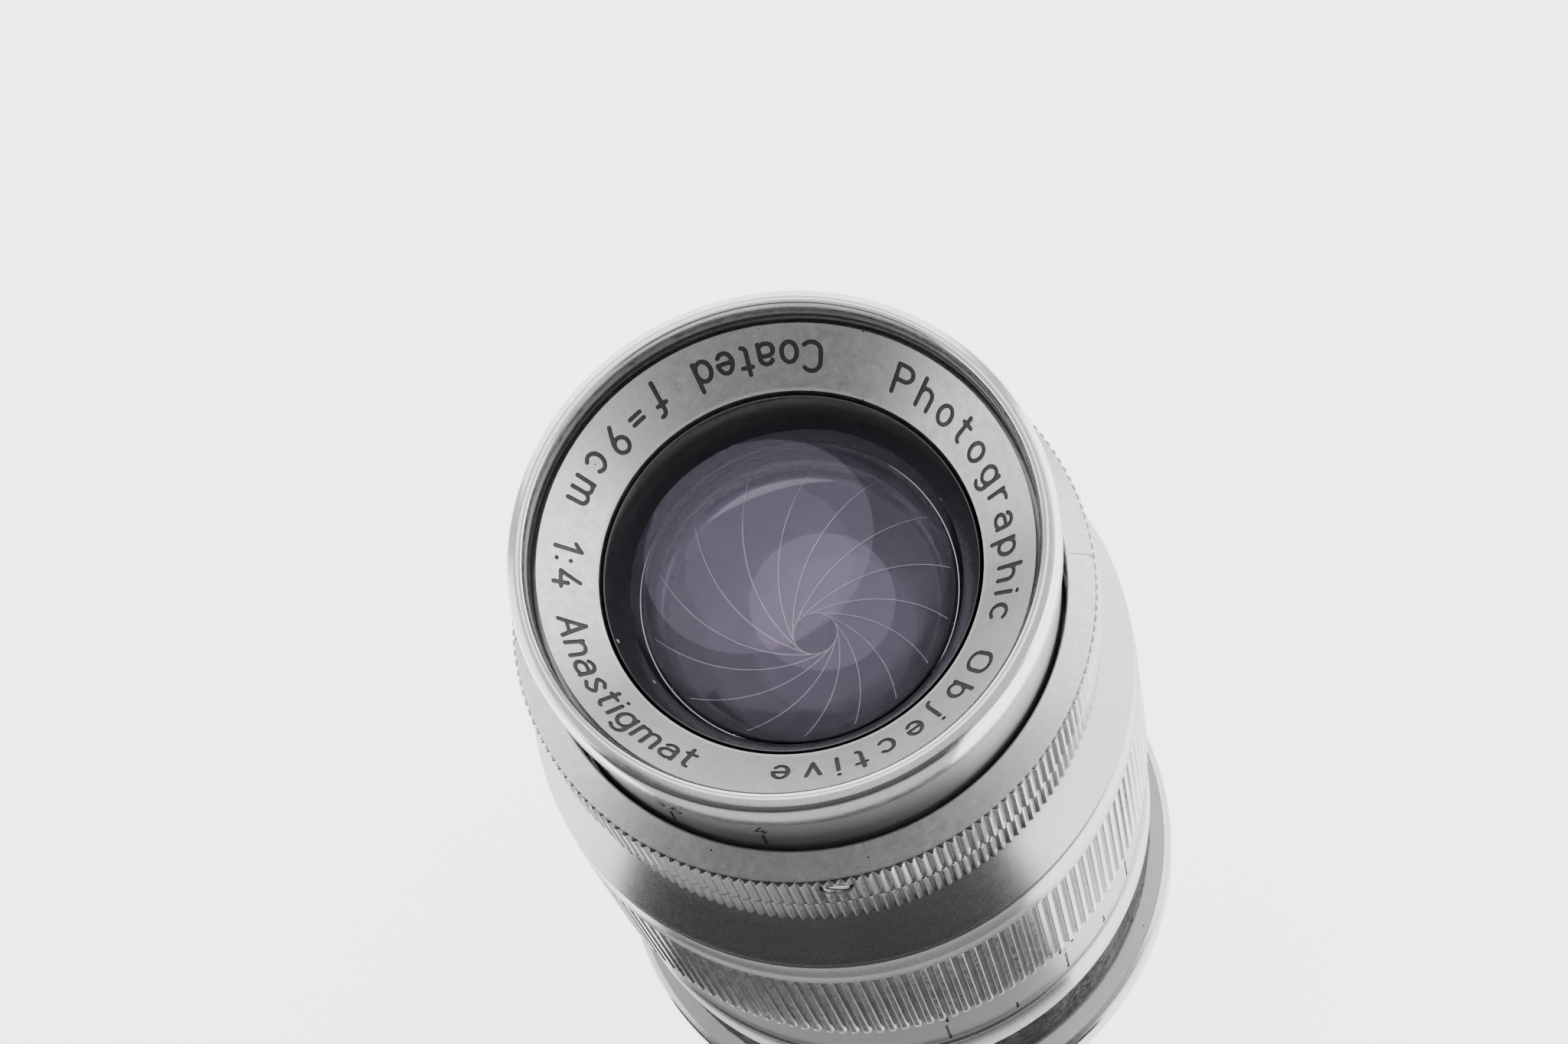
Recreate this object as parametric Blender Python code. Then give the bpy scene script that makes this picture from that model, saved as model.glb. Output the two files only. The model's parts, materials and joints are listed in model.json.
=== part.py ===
"""A 90 mm f/4 four-element photographic lens in a focusing mount, standing on its rear end.

Units are metres and +Z runs along the optical axis towards the front glass.  The
constants below are in millimetres; mm() turns them into metres.  Azimuth is counted
anticlockwise from +X, seen from the front.
"""
import math

import bmesh
import bpy
from mathutils import Matrix, Vector

# ----------------------------------------------------------------- driving dimensions
SEAT_Z = 6.0              # rear face of the flange, where the lens meets its camera
THREAD_R = 19.5           # 39 mm screw mount, 26 turns per inch
THREAD_PITCH = 25.4 / 26
THREAD_BORE_R = 18.3
FLANGE_R = 26.3
BARREL_R = 22.9           # fixed barrel that the focusing ring slides over
FOCUS_BORE_R = 23.3
FOCUS_TIP_R = 25.3        # over the ribs of the focusing ring
FOCUS_RIBS = 40
LAND_R = 25.15
CONE_TOP_R = 22.3
GRIP_TIP_R = 22.75        # knurled grip of the lens head
APERTURE_TIP_R = 23.2     # over the knurl of the aperture ring
KNURL_TEETH = 40
HEAD_R = 20.4             # barrel that carries the aperture scale
RIM_R = 21.0              # front rim
RIM_TOP_Z = 90.6
FILTER_R = 19.5           # 39 mm filter thread, 0.5 mm pitch
FILTER_PITCH = 0.5
SCREW_AZ = -103.9         # first set screw of the aperture ring
APERTURE_TURN = 77.4      # from the smallest stop to the widest
SLOT_MARGIN = 4.0

BLADES = 15
BLADE_PIVOT_R = 13.6
BLADE_EDGE_R = 10.9       # radius of a blade's inner edge
BLADE_CLOSED = 40.0       # a blade's turn from wide open to the smallest stop
BLADE_T = 0.02
BLADE_SLOPE = 0.15        # each blade leans on the next, so they lie like roof tiles
BLADE_LEAN = 138.0        # direction of that slope, from the pivot's azimuth, when open
BLADE_PIVOT_Z = 72.3
BLADE_PSI = (-4.0, 88.0)
BLADE_START_AZ = 4.0

N_BIG = 48
N_MID = 36
N_SMALL = 28


def mm(v):
    return v * 0.001


def sin(d):
    return math.sin(math.radians(d))


def cos(d):
    return math.cos(math.radians(d))


# ----------------------------------------------------------------- start clean
for ob in list(bpy.data.objects):
    bpy.data.objects.remove(ob, do_unlink=True)
COLL = bpy.context.scene.collection

MATERIALS = {}


def material(name, colour, rough, metal, transmission=0.0):
    m = bpy.data.materials.new(name)
    m.use_nodes = True
    b = m.node_tree.nodes["Principled BSDF"]
    b.inputs["Base Color"].default_value = (*colour, 1.0)
    b.inputs["Roughness"].default_value = rough
    b.inputs["Metallic"].default_value = metal
    b.inputs["Transmission Weight"].default_value = transmission
    MATERIALS[name] = m
    return m


material("satin_chrome", (0.62, 0.62, 0.62), 0.32, 1.0)
material("polished_chrome", (0.78, 0.78, 0.78), 0.12, 1.0)
material("turned_brass", (0.55, 0.42, 0.20), 0.35, 1.0)
material("black_lacquer", (0.012, 0.012, 0.013), 0.18, 0.0)
material("matt_black", (0.02, 0.02, 0.02), 0.75, 0.0)
material("black_covering", (0.018, 0.018, 0.018), 0.8, 0.0)
material("blade_steel", (0.07, 0.065, 0.07), 0.45, 0.9)
material("coated_glass", (0.93, 0.90, 1.0), 0.02, 0.0, 1.0)


def body_from(bm, name, mat, matrix=None, origin=(0, 0, 0)):
    """Make one named object from bm, with its origin at a point given in millimetres."""
    bmesh.ops.remove_doubles(bm, verts=bm.verts, dist=1e-7)
    bmesh.ops.recalc_face_normals(bm, faces=bm.faces)
    o = Vector([mm(c) for c in origin])
    if matrix is not None:
        bm.transform(matrix)
    bm.transform(Matrix.Translation(-o))
    me = bpy.data.meshes.new(name)
    bm.to_mesh(me)
    bm.free()
    me.materials.append(MATERIALS[mat])
    me.shade_smooth()
    me.set_sharp_from_angle(angle=math.radians(30))
    ob = bpy.data.objects.new(name, me)
    ob.location = o
    COLL.objects.link(ob)
    return ob


def spun(profile, steps, closed=True):
    """Spin a profile of (radius, height) points in millimetres round the optical axis."""
    bm = bmesh.new()
    vs = [bm.verts.new((mm(r), 0, mm(z))) for r, z in profile]
    pairs = list(zip(vs, vs[1:]))
    if closed:
        pairs.append((vs[-1], vs[0]))
    es = [bm.edges.new(p) for p in pairs]
    bmesh.ops.spin(bm, geom=vs + es, cent=(0, 0, 0), axis=(0, 0, 1),
                   angle=2 * math.pi, steps=steps, use_merge=True)
    bmesh.ops.remove_doubles(bm, verts=bm.verts, dist=1e-7)
    return bm


def ring(name, profile, steps, mat):
    return body_from(spun(profile, steps), name, mat)


def ribbed(name, profile, steps, mat, z_low, z_high, tip_r, depth):
    """A turned ring whose outer band between two heights carries straight ribs."""
    bm = spun(profile, steps)
    for v in bm.verts:
        r = math.hypot(v.co.x, v.co.y)
        if mm(z_low) - 1e-6 <= v.co.z <= mm(z_high) + 1e-6 and r > mm(tip_r) - 1e-5:
            k = round(math.atan2(v.co.y, v.co.x) / (2 * math.pi / steps))
            if k % 2:
                v.co.x *= (r - mm(depth)) / r
                v.co.y *= (r - mm(depth)) / r
    return body_from(bm, name, mat)


def arc_surface(radius_r, z_vertex, curve_r, steps):
    """Heights across a spherical face: curve_r > 0 falls away from the vertex."""
    pts = []
    for i in range(steps + 1):
        r = radius_r * i / steps
        sag = abs(curve_r) - math.sqrt(curve_r * curve_r - r * r)
        pts.append((r, z_vertex - math.copysign(sag, curve_r)))
    return pts


def element(name, radius_r, front_z, front_curve, back_z, back_curve, steps=28, rows=4):
    """A glass element; a curve of 0 is a flat face."""
    def face(z, c):
        if c == 0:
            return [(0.0, z), (radius_r, z)]
        return arc_surface(radius_r, z, c, rows)
    prof = face(front_z, front_curve) + list(reversed(face(back_z, back_curve)))
    return body_from(spun(prof, steps, closed=False), name, "coated_glass")


def cutter(name, bm):
    bmesh.ops.remove_doubles(bm, verts=bm.verts, dist=1e-7)
    bmesh.ops.recalc_face_normals(bm, faces=bm.faces)
    me = bpy.data.meshes.new(name)
    bm.to_mesh(me)
    bm.free()
    ob = bpy.data.objects.new(name, me)
    ob.hide_render = True
    ob.display_type = "WIRE"
    COLL.objects.link(ob)
    return ob


def cut(target, tool):
    m = target.modifiers.new("cut_" + tool.name, "BOOLEAN")
    m.operation = "DIFFERENCE"
    m.solver = "EXACT"
    m.object = tool


def rod(radius_mm, length_mm, steps):
    """A closed rod along +Z from the origin."""
    bm = bmesh.new()
    bmesh.ops.create_cone(bm, cap_ends=True, segments=steps, radius1=mm(radius_mm),
                          radius2=mm(radius_mm), depth=mm(length_mm))
    bm.transform(Matrix.Translation((0, 0, mm(length_mm) / 2)))
    return bm


def radial(azimuth, z, r):
    """Matrix that lays +Z outwards along an azimuth, starting at radius r and height z."""
    return (Matrix.Rotation(math.radians(azimuth), 4, "Z")
            @ Matrix.Translation((mm(r), 0, mm(z)))
            @ Matrix.Rotation(math.radians(90), 4, "Y"))


def sector(r0, r1, z0, z1, a0, a1, steps):
    """A closed block between two radii, two heights and two azimuths."""
    bm = bmesh.new()
    rows = []
    for i in range(steps + 1):
        a = a0 + (a1 - a0) * i / steps
        rows.append([bm.verts.new((mm(r) * cos(a), mm(r) * sin(a), mm(z)))
                     for r, z in ((r0, z0), (r1, z0), (r1, z1), (r0, z1))])
    for p, q in zip(rows, rows[1:]):
        for k in range(4):
            bm.faces.new((p[k], p[(k + 1) % 4], q[(k + 1) % 4], q[k]))
    bm.faces.new(rows[0])
    bm.faces.new(list(reversed(rows[-1])))
    return bm


def slotted_screw(name, mat, matrix, head_r, head_h, shank_r, shank_l, slot_w, slot_d):
    """A cheese-head screw: shank from 0, head on top, slot across the head."""
    prof = [(0.0, 0.0), (shank_r, 0.0), (shank_r, shank_l), (head_r, shank_l),
            (head_r, shank_l + head_h - 0.12), (head_r - 0.12, shank_l + head_h),
            (0.0, shank_l + head_h)]
    bm = spun(prof, 16, closed=False)
    ob = body_from(bm, name, mat)
    slot = bmesh.new()
    bmesh.ops.create_cube(slot, size=1.0)
    slot.transform(Matrix.Translation((0, 0, mm(shank_l + head_h)))
                   @ Matrix.Diagonal((mm(4 * head_r), mm(slot_w), mm(2 * slot_d), 1)))
    tool = cutter(name + "_slot_cutter", slot)
    ob.matrix_world = matrix
    tool.matrix_world = matrix
    cut(ob, tool)
    return ob


# ----------------------------------------------------------------- fixed mount
prof = [(THREAD_BORE_R, 0.2), (THREAD_BORE_R + 0.15, 0.0), (THREAD_R - 0.62, 0.0)]
turns = 5
for i in range(turns):
    z = 0.35 + i * THREAD_PITCH
    prof += [(THREAD_R - 0.6, z), (THREAD_R, z + THREAD_PITCH * 0.42),
             (THREAD_R, z + THREAD_PITCH * 0.58)]
z_end = 0.35 + turns * THREAD_PITCH
prof += [(THREAD_R - 0.6, z_end), (THREAD_R - 0.6, SEAT_Z - 0.3), (THREAD_R, SEAT_Z - 0.1),
         (THREAD_R, 8.7), (21.4, 8.7), (21.4, 10.4), (THREAD_BORE_R, 10.4)]
ring("screw_mount", prof, N_MID, "polished_chrome")

flange = ring("mount_flange",
              [(19.85, SEAT_Z), (25.9, SEAT_Z), (FLANGE_R, SEAT_Z + 0.5), (FLANGE_R, 9.7),
               (26.15, 10.1), (25.8, 10.35), (24.2, 10.75), (21.8, 10.8), (21.8, 8.4),
               (19.85, 8.4)], N_BIG, "satin_chrome")
for i in range(4):
    az = 45 + 90 * i
    hole = rod(0.9, 8.0, 16)
    at = Matrix.Rotation(math.radians(az), 4, "Z") @ Matrix.Translation((mm(23.4), 0, mm(4.5)))
    hole.transform(at)
    cut(flange, cutter("flange_hole_cutter_%d" % (i + 1), hole))
    bore = rod(1.55, 3.0, 16)
    bore.transform(Matrix.Rotation(math.radians(az), 4, "Z")
                   @ Matrix.Translation((mm(23.4), 0, mm(4.5))))
    cut(flange, cutter("flange_bore_cutter_%d" % (i + 1), bore))
    turn = (Matrix.Rotation(math.radians(az), 4, "Z")
            @ Matrix.Translation((mm(23.4), 0, mm(10.5)))
            @ Matrix.Rotation(math.radians(180), 4, "X"))
    slotted_screw("flange_screw_%d" % (i + 1), "polished_chrome", turn,
                  1.3, 1.1, 0.62, 3.25, 0.35, 0.4)

ring("mount_barrel",
     [(21.5, 11.1), (23.6, 11.1), (23.6, 20.7), (BARREL_R, 20.9), (BARREL_R, 50.0),
      (22.7, 50.3), (21.5, 50.3)], N_MID, "turned_brass")
ring("barrel_covering",
     [(23.9, 11.15), (24.5, 11.15), (24.55, 11.5), (24.55, 20.4), (24.4, 20.7), (23.9, 20.7)],
     N_BIG, "black_covering")

for i, az in enumerate((0, 180)):
    half = math.degrees(1.5 / 20.0)
    key = bmesh.new()
    outline = [(18.7, 11.6), (21.15, 11.6), (21.15, 23.0), (19.85, 23.0), (19.85, 36.0),
               (18.7, 36.0)]
    ends = []
    for side in (-1, 1):
        ends.append([key.verts.new((mm(r), mm(1.5 * side), mm(z))) for r, z in outline])
    for k in range(len(outline)):
        n = (k + 1) % len(outline)
        key.faces.new((ends[0][k], ends[0][n], ends[1][n], ends[1][k]))
    key.faces.new(ends[0])
    key.faces.new(list(reversed(ends[1])))
    body_from(key, "guide_key_%d" % (i + 1), "turned_brass",
              Matrix.Rotation(math.radians(az), 4, "Z"))

# ----------------------------------------------------------------- rangefinder tube
ring("rangefinder_tube",
     [(16.9, 1.6), (17.3, 1.2), (17.8, 1.2), (17.95, 1.4), (17.95, 29.7), (17.6, 30.0),
      (16.9, 30.0)], N_MID, "turned_brass")

# ----------------------------------------------------------------- guide sleeve
sleeve = ring("guide_sleeve",
              [(18.4, 12.0), (19.25, 12.0), (19.25, 44.6), (19.85, 44.6), (19.85, 46.0),
               (18.4, 46.0)], N_MID, "turned_brass")
for i, az in enumerate((0, 180)):
    slot = bmesh.new()
    bmesh.ops.create_cube(slot, size=1.0)
    slot.transform(Matrix.Rotation(math.radians(az), 4, "Z")
                   @ Matrix.Translation((mm(19.0), 0, mm(23.5)))
                   @ Matrix.Diagonal((mm(3.0), mm(3.6), mm(27.0), 1)))
    cut(sleeve, cutter("sleeve_slot_cutter_%d" % (i + 1), slot))

# ----------------------------------------------------------------- focusing ring and head
ribbed("focus_ring",
       [(FOCUS_BORE_R, 21.2), (24.45, 21.2), (24.85, 21.8), (24.85, 27.3), (24.55, 27.6),
        (24.55, 37.5), (FOCUS_TIP_R, 38.0), (FOCUS_TIP_R, 55.9), (LAND_R, 56.4),
        (LAND_R, 60.45), (21.6, 60.45), (21.6, 57.4), (FOCUS_BORE_R, 57.4)],
       2 * FOCUS_RIBS, "satin_chrome", 37.95, 55.95, FOCUS_TIP_R, 0.32)
ring("helicoid_tube",
     [(20.2, 24.0), (21.2, 24.0), (21.2, 60.4), (18.95, 60.4), (18.95, 46.3), (20.2, 46.3)],
     N_MID, "turned_brass")
ring("sleeve_retaining_ring",
     [(19.55, 42.6), (19.9, 42.6), (19.9, 44.3), (19.55, 44.3)], N_SMALL, "turned_brass")
ring("head_cone",
     [(18.95, 60.75), (25.0, 60.75), (25.05, 60.85), (23.9, 62.9), (23.0, 64.5),
      (CONE_TOP_R, 65.6), (18.95, 65.6)], N_BIG, "satin_chrome")
ribbed("head_grip_ring",
       [(20.75, 65.95), (GRIP_TIP_R - 0.3, 65.95), (GRIP_TIP_R, 66.3), (GRIP_TIP_R, 71.1),
        (GRIP_TIP_R - 0.3, 71.45), (20.75, 71.45)],
       2 * KNURL_TEETH, "satin_chrome", 66.2, 71.2, GRIP_TIP_R, 0.28)

head = ring("aperture_scale_barrel",
            [(17.6, 52.0), (18.6, 52.0), (18.6, 65.95), (HEAD_R, 65.95), (HEAD_R, 86.2),
             (18.75, 86.2), (18.75, 64.0), (17.6, 64.0)], N_BIG, "satin_chrome")
half = math.degrees(1.45 / 19.5)
for i in range(2):
    a0 = SCREW_AZ + 180 * i - half
    slot = sector(17.9, 21.2, 74.45, 76.95, a0, a0 + APERTURE_TURN + 2 * half, 12)
    cut(head, cutter("head_slot_cutter_%d" % (i + 1), slot))

prof = [(19.4, 86.5), (RIM_R, 86.5), (RIM_R, 89.7), (20.85, 90.2), (20.5, 90.5),
        (20.1, RIM_TOP_Z), (19.85, 90.5), (FILTER_R, 90.1)]
for i in range(4):
    z = 90.0 - i * FILTER_PITCH
    prof += [(FILTER_R - 0.27, z - FILTER_PITCH * 0.35), (FILTER_R, z - FILTER_PITCH * 0.85)]
prof += [(19.4, 87.8)]
ring("front_rim", prof, N_BIG, "polished_chrome")

ring("name_ring",
     [(14.85, 84.6), (14.95, 84.65), (19.05, 88.1), (19.1, 88.0), (19.1, 86.6), (18.4, 86.3),
      (18.4, 85.6), (14.85, 82.9)], N_BIG, "satin_chrome")
ring("front_retaining_ring",
     [(13.0, 81.3), (14.45, 84.35), (14.55, 84.35), (14.55, 82.6), (16.2, 82.2),
      (16.2, 81.15), (13.35, 81.15)], N_MID, "black_lacquer")
ring("front_cell",
     [(13.75, 80.85), (13.75, 79.3), (12.95, 79.3), (11.9, 78.75), (11.9, 72.95),
      (11.15, 72.95), (11.15, 72.65), (12.45, 72.65), (12.45, 77.8), (18.4, 77.8),
      (18.4, 80.85)],
     N_MID, "matt_black")
element("front_element", 13.4, 84.4, 26.0, 79.6, 0, 36, 5)
element("middle_element", 11.8, 77.5, -60.0, 75.9, 30.0)
ring("element_spacer", [(11.45, 78.78), (11.8, 78.78), (11.8, 79.25), (11.45, 79.25)],
     N_SMALL, "matt_black")
ring("iris_base_plate",
     [(11.2, 67.5), (18.4, 67.5), (18.4, 68.3), (11.2, 68.3)], N_MID, "matt_black")
ring("rear_cell",
     [(18.3, 67.2), (10.2, 67.2), (10.2, 66.2), (10.75, 66.2), (10.75, 58.7), (12.2, 58.7),
      (12.2, 65.7), (17.0, 65.7), (17.0, 64.35), (18.3, 64.35)][::-1],
     N_MID, "matt_black")
element("rear_inner_element", 10.4, 65.8, 0, 64.4, 22.0)
element("rear_outer_element", 10.4, 64.3, 22.0, 59.8, -36.0)
ring("rear_retaining_ring", [(9.4, 58.9), (10.4, 58.9), (10.4, 60.6), (9.4, 60.6)],
     N_SMALL, "matt_black")
ring("rear_baffle",
     [(17.25, 58.4), (17.25, 52.3), (16.7, 52.3), (16.7, 57.0), (13.0, 57.9), (13.0, 58.4)][::-1],
     N_SMALL, "matt_black")

# ----------------------------------------------------------------- aperture ring
aperture = ribbed("aperture_ring",
                  [(20.78, 72.0), (APERTURE_TIP_R - 0.35, 72.0), (APERTURE_TIP_R, 72.3),
                   (APERTURE_TIP_R, 77.7), (APERTURE_TIP_R - 0.3, 78.0), (20.95, 79.3),
                   (20.78, 79.2)],
                  2 * KNURL_TEETH, "satin_chrome", 72.2, 77.75, APERTURE_TIP_R, 0.28)
ring("iris_cam_ring",
     [(12.6, 72.75), (18.35, 72.75), (18.35, 77.5), (12.6, 77.5)], N_MID, "matt_black")
for i in range(2):
    az = SCREW_AZ + 180 * i
    hole = rod(1.35, 6.0, 16)
    hole.transform(radial(az, 75.7, 19.5))
    cut(aperture, cutter("set_screw_hole_cutter_%d" % (i + 1), hole))
    slotted_screw("aperture_set_screw_%d" % (i + 1), "polished_chrome",
                  radial(az, 75.7, 18.65), 1.05, 2.1, 0.9, 2.3, 0.34, 0.4)

# ----------------------------------------------------------------- iris blades
def blade_width(psi):
    """Width of a blade outside its inner edge, along its length."""
    knots = ((-4, 2.6), (0, 3.2), (20, 3.5), (45, 2.9), (60, 1.8), (75, 1.1), (88, 0.5))
    for (a, u), (b, v) in zip(knots, knots[1:]):
        if psi <= b:
            return u + (v - u) * (psi - a) / (b - a)
    return knots[-1][1]


def blade(index):
    """A crescent in its closed place, leaning along one direction like a roof tile."""
    az = BLADE_START_AZ + index * 360.0 / BLADES
    pivot = Vector((BLADE_PIVOT_R * cos(az), BLADE_PIVOT_R * sin(az), 0))
    inner = [BLADE_PSI[0] + (BLADE_PSI[1] - BLADE_PSI[0]) * i / 18 for i in range(19)]
    outer = [BLADE_PSI[1] + (BLADE_PSI[0] - BLADE_PSI[1]) * i / 9 for i in range(10)]
    flat = ([(BLADE_EDGE_R, p) for p in inner]
            + [(BLADE_EDGE_R + blade_width(p), p) for p in outer])
    turn = Matrix.Rotation(math.radians(BLADE_CLOSED), 2)
    slope = BLADE_LEAN + az + BLADE_CLOSED
    lean = Vector((BLADE_SLOPE * cos(slope), BLADE_SLOPE * sin(slope)))
    points = []
    for r, p in flat:
        out = Vector((r * cos(az + p), r * sin(az + p))) - pivot.to_2d()
        xy = turn @ out
        points.append((xy.x + pivot.x, xy.y + pivot.y, BLADE_PIVOT_Z - lean.dot(xy)))
    bm = bmesh.new()
    low = [bm.verts.new((mm(x), mm(y), mm(z))) for x, y, z in points]
    face = bm.faces.new(low)
    got = bmesh.ops.extrude_face_region(bm, geom=[face])
    top = [g for g in got["geom"] if isinstance(g, bmesh.types.BMVert)]
    bmesh.ops.translate(bm, verts=top, vec=(0, 0, mm(BLADE_T)))
    return body_from(bm, "iris_blade_%02d" % (index + 1), "blade_steel",
                     origin=(pivot.x, pivot.y, BLADE_PIVOT_Z))


for n in range(BLADES):
    blade(n)
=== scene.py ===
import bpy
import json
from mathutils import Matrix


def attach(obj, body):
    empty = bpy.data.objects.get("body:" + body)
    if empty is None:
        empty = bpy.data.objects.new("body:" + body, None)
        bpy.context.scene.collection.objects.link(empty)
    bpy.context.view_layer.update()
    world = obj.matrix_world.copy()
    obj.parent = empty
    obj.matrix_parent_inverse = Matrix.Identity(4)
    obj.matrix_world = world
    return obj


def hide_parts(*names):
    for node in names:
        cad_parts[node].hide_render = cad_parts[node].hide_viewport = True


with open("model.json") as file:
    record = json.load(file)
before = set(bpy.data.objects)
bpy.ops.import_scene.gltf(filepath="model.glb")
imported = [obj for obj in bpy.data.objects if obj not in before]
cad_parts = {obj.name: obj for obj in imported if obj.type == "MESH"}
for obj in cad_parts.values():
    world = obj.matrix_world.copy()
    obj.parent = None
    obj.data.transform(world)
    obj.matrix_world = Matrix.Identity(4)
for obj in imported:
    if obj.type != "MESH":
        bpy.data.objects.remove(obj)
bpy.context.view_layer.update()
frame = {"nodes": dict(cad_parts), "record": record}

import json
import math
import bmesh
import bpy
import numpy as np
from mathutils import Matrix, Vector

TAU = 2 * math.pi
MM = 0.001
COLL = bpy.context.scene.collection


# ================================================================ materials
def node_material(name):
    m = bpy.data.materials.new(name)
    m.use_nodes = True
    nt = m.node_tree
    nt.nodes.clear()
    out = nt.nodes.new("ShaderNodeOutputMaterial")
    p = nt.nodes.new("ShaderNodeBsdfPrincipled")
    nt.links.new(p.outputs[0], out.inputs[0])
    return m, nt, p


def coords(nt, scale=(1, 1, 1)):
    t = nt.nodes.new("ShaderNodeTexCoord")
    mp = nt.nodes.new("ShaderNodeMapping")
    mp.inputs["Scale"].default_value = scale
    nt.links.new(t.outputs["Object"], mp.inputs["Vector"])
    return mp.outputs[0]


def noise(nt, vec, scale, detail=2.0, rough=0.55):
    n = nt.nodes.new("ShaderNodeTexNoise")
    n.inputs["Scale"].default_value = scale
    n.inputs["Detail"].default_value = detail
    n.inputs["Roughness"].default_value = rough
    nt.links.new(vec, n.inputs["Vector"])
    return n.outputs["Fac"]


def ramp(nt, fac, stops):
    r = nt.nodes.new("ShaderNodeValToRGB")
    r.color_ramp.interpolation = "LINEAR"
    e = r.color_ramp.elements
    while len(e) < len(stops):
        e.new(0.5)
    for k, (pos, col) in enumerate(stops):
        e[k].position = pos
        e[k].color = (col, col, col, 1) if not isinstance(col, tuple) else (*col, 1)
    nt.links.new(fac, r.inputs["Fac"])
    return r.outputs["Color"]


def to_range(nt, fac, lo, hi, a=0.3, b=0.7):
    r = nt.nodes.new("ShaderNodeMapRange")
    r.inputs["From Min"].default_value = a
    r.inputs["From Max"].default_value = b
    r.inputs["To Min"].default_value = lo
    r.inputs["To Max"].default_value = hi
    nt.links.new(fac, r.inputs["Value"])
    return r.outputs[0]


def mix_col(nt, fac, a, b, mode="MIX"):
    m = nt.nodes.new("ShaderNodeMix")
    m.data_type = "RGBA"
    m.blend_type = mode
    for sock, v in (("Factor", fac), ("A", a), ("B", b)):
        s = [i for i in m.inputs if i.name == sock and (sock == "Factor" and i.type == "VALUE"
                                                        or sock != "Factor" and i.type == "RGBA")][0]
        if isinstance(v, (int, float)):
            s.default_value = v
        elif isinstance(v, tuple):
            s.default_value = (*v, 1)
        else:
            nt.links.new(v, s)
    return [o for o in m.outputs if o.type == "RGBA"][0]


def math_node(nt, op, a, b=0.5):
    m = nt.nodes.new("ShaderNodeMath")
    m.operation = op
    for k, v in enumerate((a, b)):
        if isinstance(v, (int, float)):
            m.inputs[k].default_value = v
        else:
            nt.links.new(v, m.inputs[k])
    return m.outputs[0]


def bump(nt, height, distance, strength, normal=None):
    b = nt.nodes.new("ShaderNodeBump")
    b.inputs["Distance"].default_value = distance
    b.inputs["Strength"].default_value = strength
    nt.links.new(height, b.inputs["Height"])
    if normal is not None:
        nt.links.new(normal, b.inputs["Normal"])
    return b.outputs[0]


def specks(nt, vec, scale, size, amount):
    """Small dark marks, only in some of the cells."""
    v = nt.nodes.new("ShaderNodeTexVoronoi")
    v.inputs["Scale"].default_value = scale
    nt.links.new(vec, v.inputs["Vector"])
    near = math_node(nt, "LESS_THAN", v.outputs["Distance"], size)
    sep = nt.nodes.new("ShaderNodeSeparateColor")
    nt.links.new(v.outputs["Color"], sep.inputs[0])
    rare = math_node(nt, "LESS_THAN", sep.outputs[0], amount)
    return math_node(nt, "MULTIPLY", near, rare)


def metal(name, colour, dark, rough, grain_scale=9000, grain=0.25, speck=0.05, turned=0.0,
          rough_spread=0.07, speck_colour=(0.05, 0.045, 0.04)):
    m, nt, p = node_material(name)
    c = coords(nt)
    broad = noise(nt, c, 160, 4, 0.6)
    fine = noise(nt, c, grain_scale, 2, 0.6)
    base = mix_col(nt, to_range(nt, broad, 0.0, 1.0, 0.3, 0.7), dark, colour)
    sparkle = to_range(nt, fine, 0.86, 1.12, 0.3, 0.7)
    base = mix_col(nt, 1.0, base, sparkle, "MULTIPLY")
    if speck:
        s = specks(nt, c, 900, 0.075, speck)
        base = mix_col(nt, s, base, speck_colour)
        s2 = specks(nt, coords(nt, (1.0, 1.3, 1.1)), 420, 0.04, speck * 0.8)
        base = mix_col(nt, s2, base, (0.12, 0.10, 0.08))
    nt.links.new(base, p.inputs["Base Color"])
    p.inputs["Metallic"].default_value = 1.0
    mid = noise(nt, c, 1400, 3, 0.6)
    nt.links.new(to_range(nt, mid, rough - rough_spread, rough + rough_spread, 0.25, 0.75),
                 p.inputs["Roughness"])
    h = bump(nt, fine, 0.00001, grain)
    if turned:
        t = nt.nodes.new("ShaderNodeTexCoord")
        sep = nt.nodes.new("ShaderNodeSeparateXYZ")
        nt.links.new(t.outputs["Object"], sep.inputs[0])
        r2 = math_node(nt, "ADD", math_node(nt, "MULTIPLY", sep.outputs[0], sep.outputs[0]),
                       math_node(nt, "MULTIPLY", sep.outputs[1], sep.outputs[1]))
        rad = math_node(nt, "SQRT", r2, 0.0)
        comb = nt.nodes.new("ShaderNodeCombineXYZ")
        nt.links.new(rad, comb.inputs[0])
        nt.links.new(sep.outputs[2], comb.inputs[2])
        lines = noise(nt, comb.outputs[0], 16000, 2, 0.5)
        h = bump(nt, lines, 0.000006, turned, h)
    nt.links.new(h, p.inputs["Normal"])
    return m


def paint(name, colour, rough, spread=0.08, bump_strength=0.15, coat=0.0, scale=5000,
          dust=0.0):
    m, nt, p = node_material(name)
    c = coords(nt)
    n = noise(nt, c, scale, 3, 0.6)
    lighter = tuple(min(1, v * 1.9 + 0.004) for v in colour)
    base = mix_col(nt, to_range(nt, n, 0, 1, 0.35, 0.75), colour, lighter)
    if dust:
        s = specks(nt, c, 700, 0.12, dust)
        base = mix_col(nt, s, base, (0.35, 0.33, 0.31))
    nt.links.new(base, p.inputs["Base Color"])
    nt.links.new(to_range(nt, noise(nt, c, 700, 3), rough - spread, rough + spread, 0.3, 0.7),
                 p.inputs["Roughness"])
    p.inputs["Coat Weight"].default_value = coat
    p.inputs["Coat Roughness"].default_value = 0.12
    nt.links.new(bump(nt, n, 0.00001, bump_strength), p.inputs["Normal"])
    return m


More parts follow.
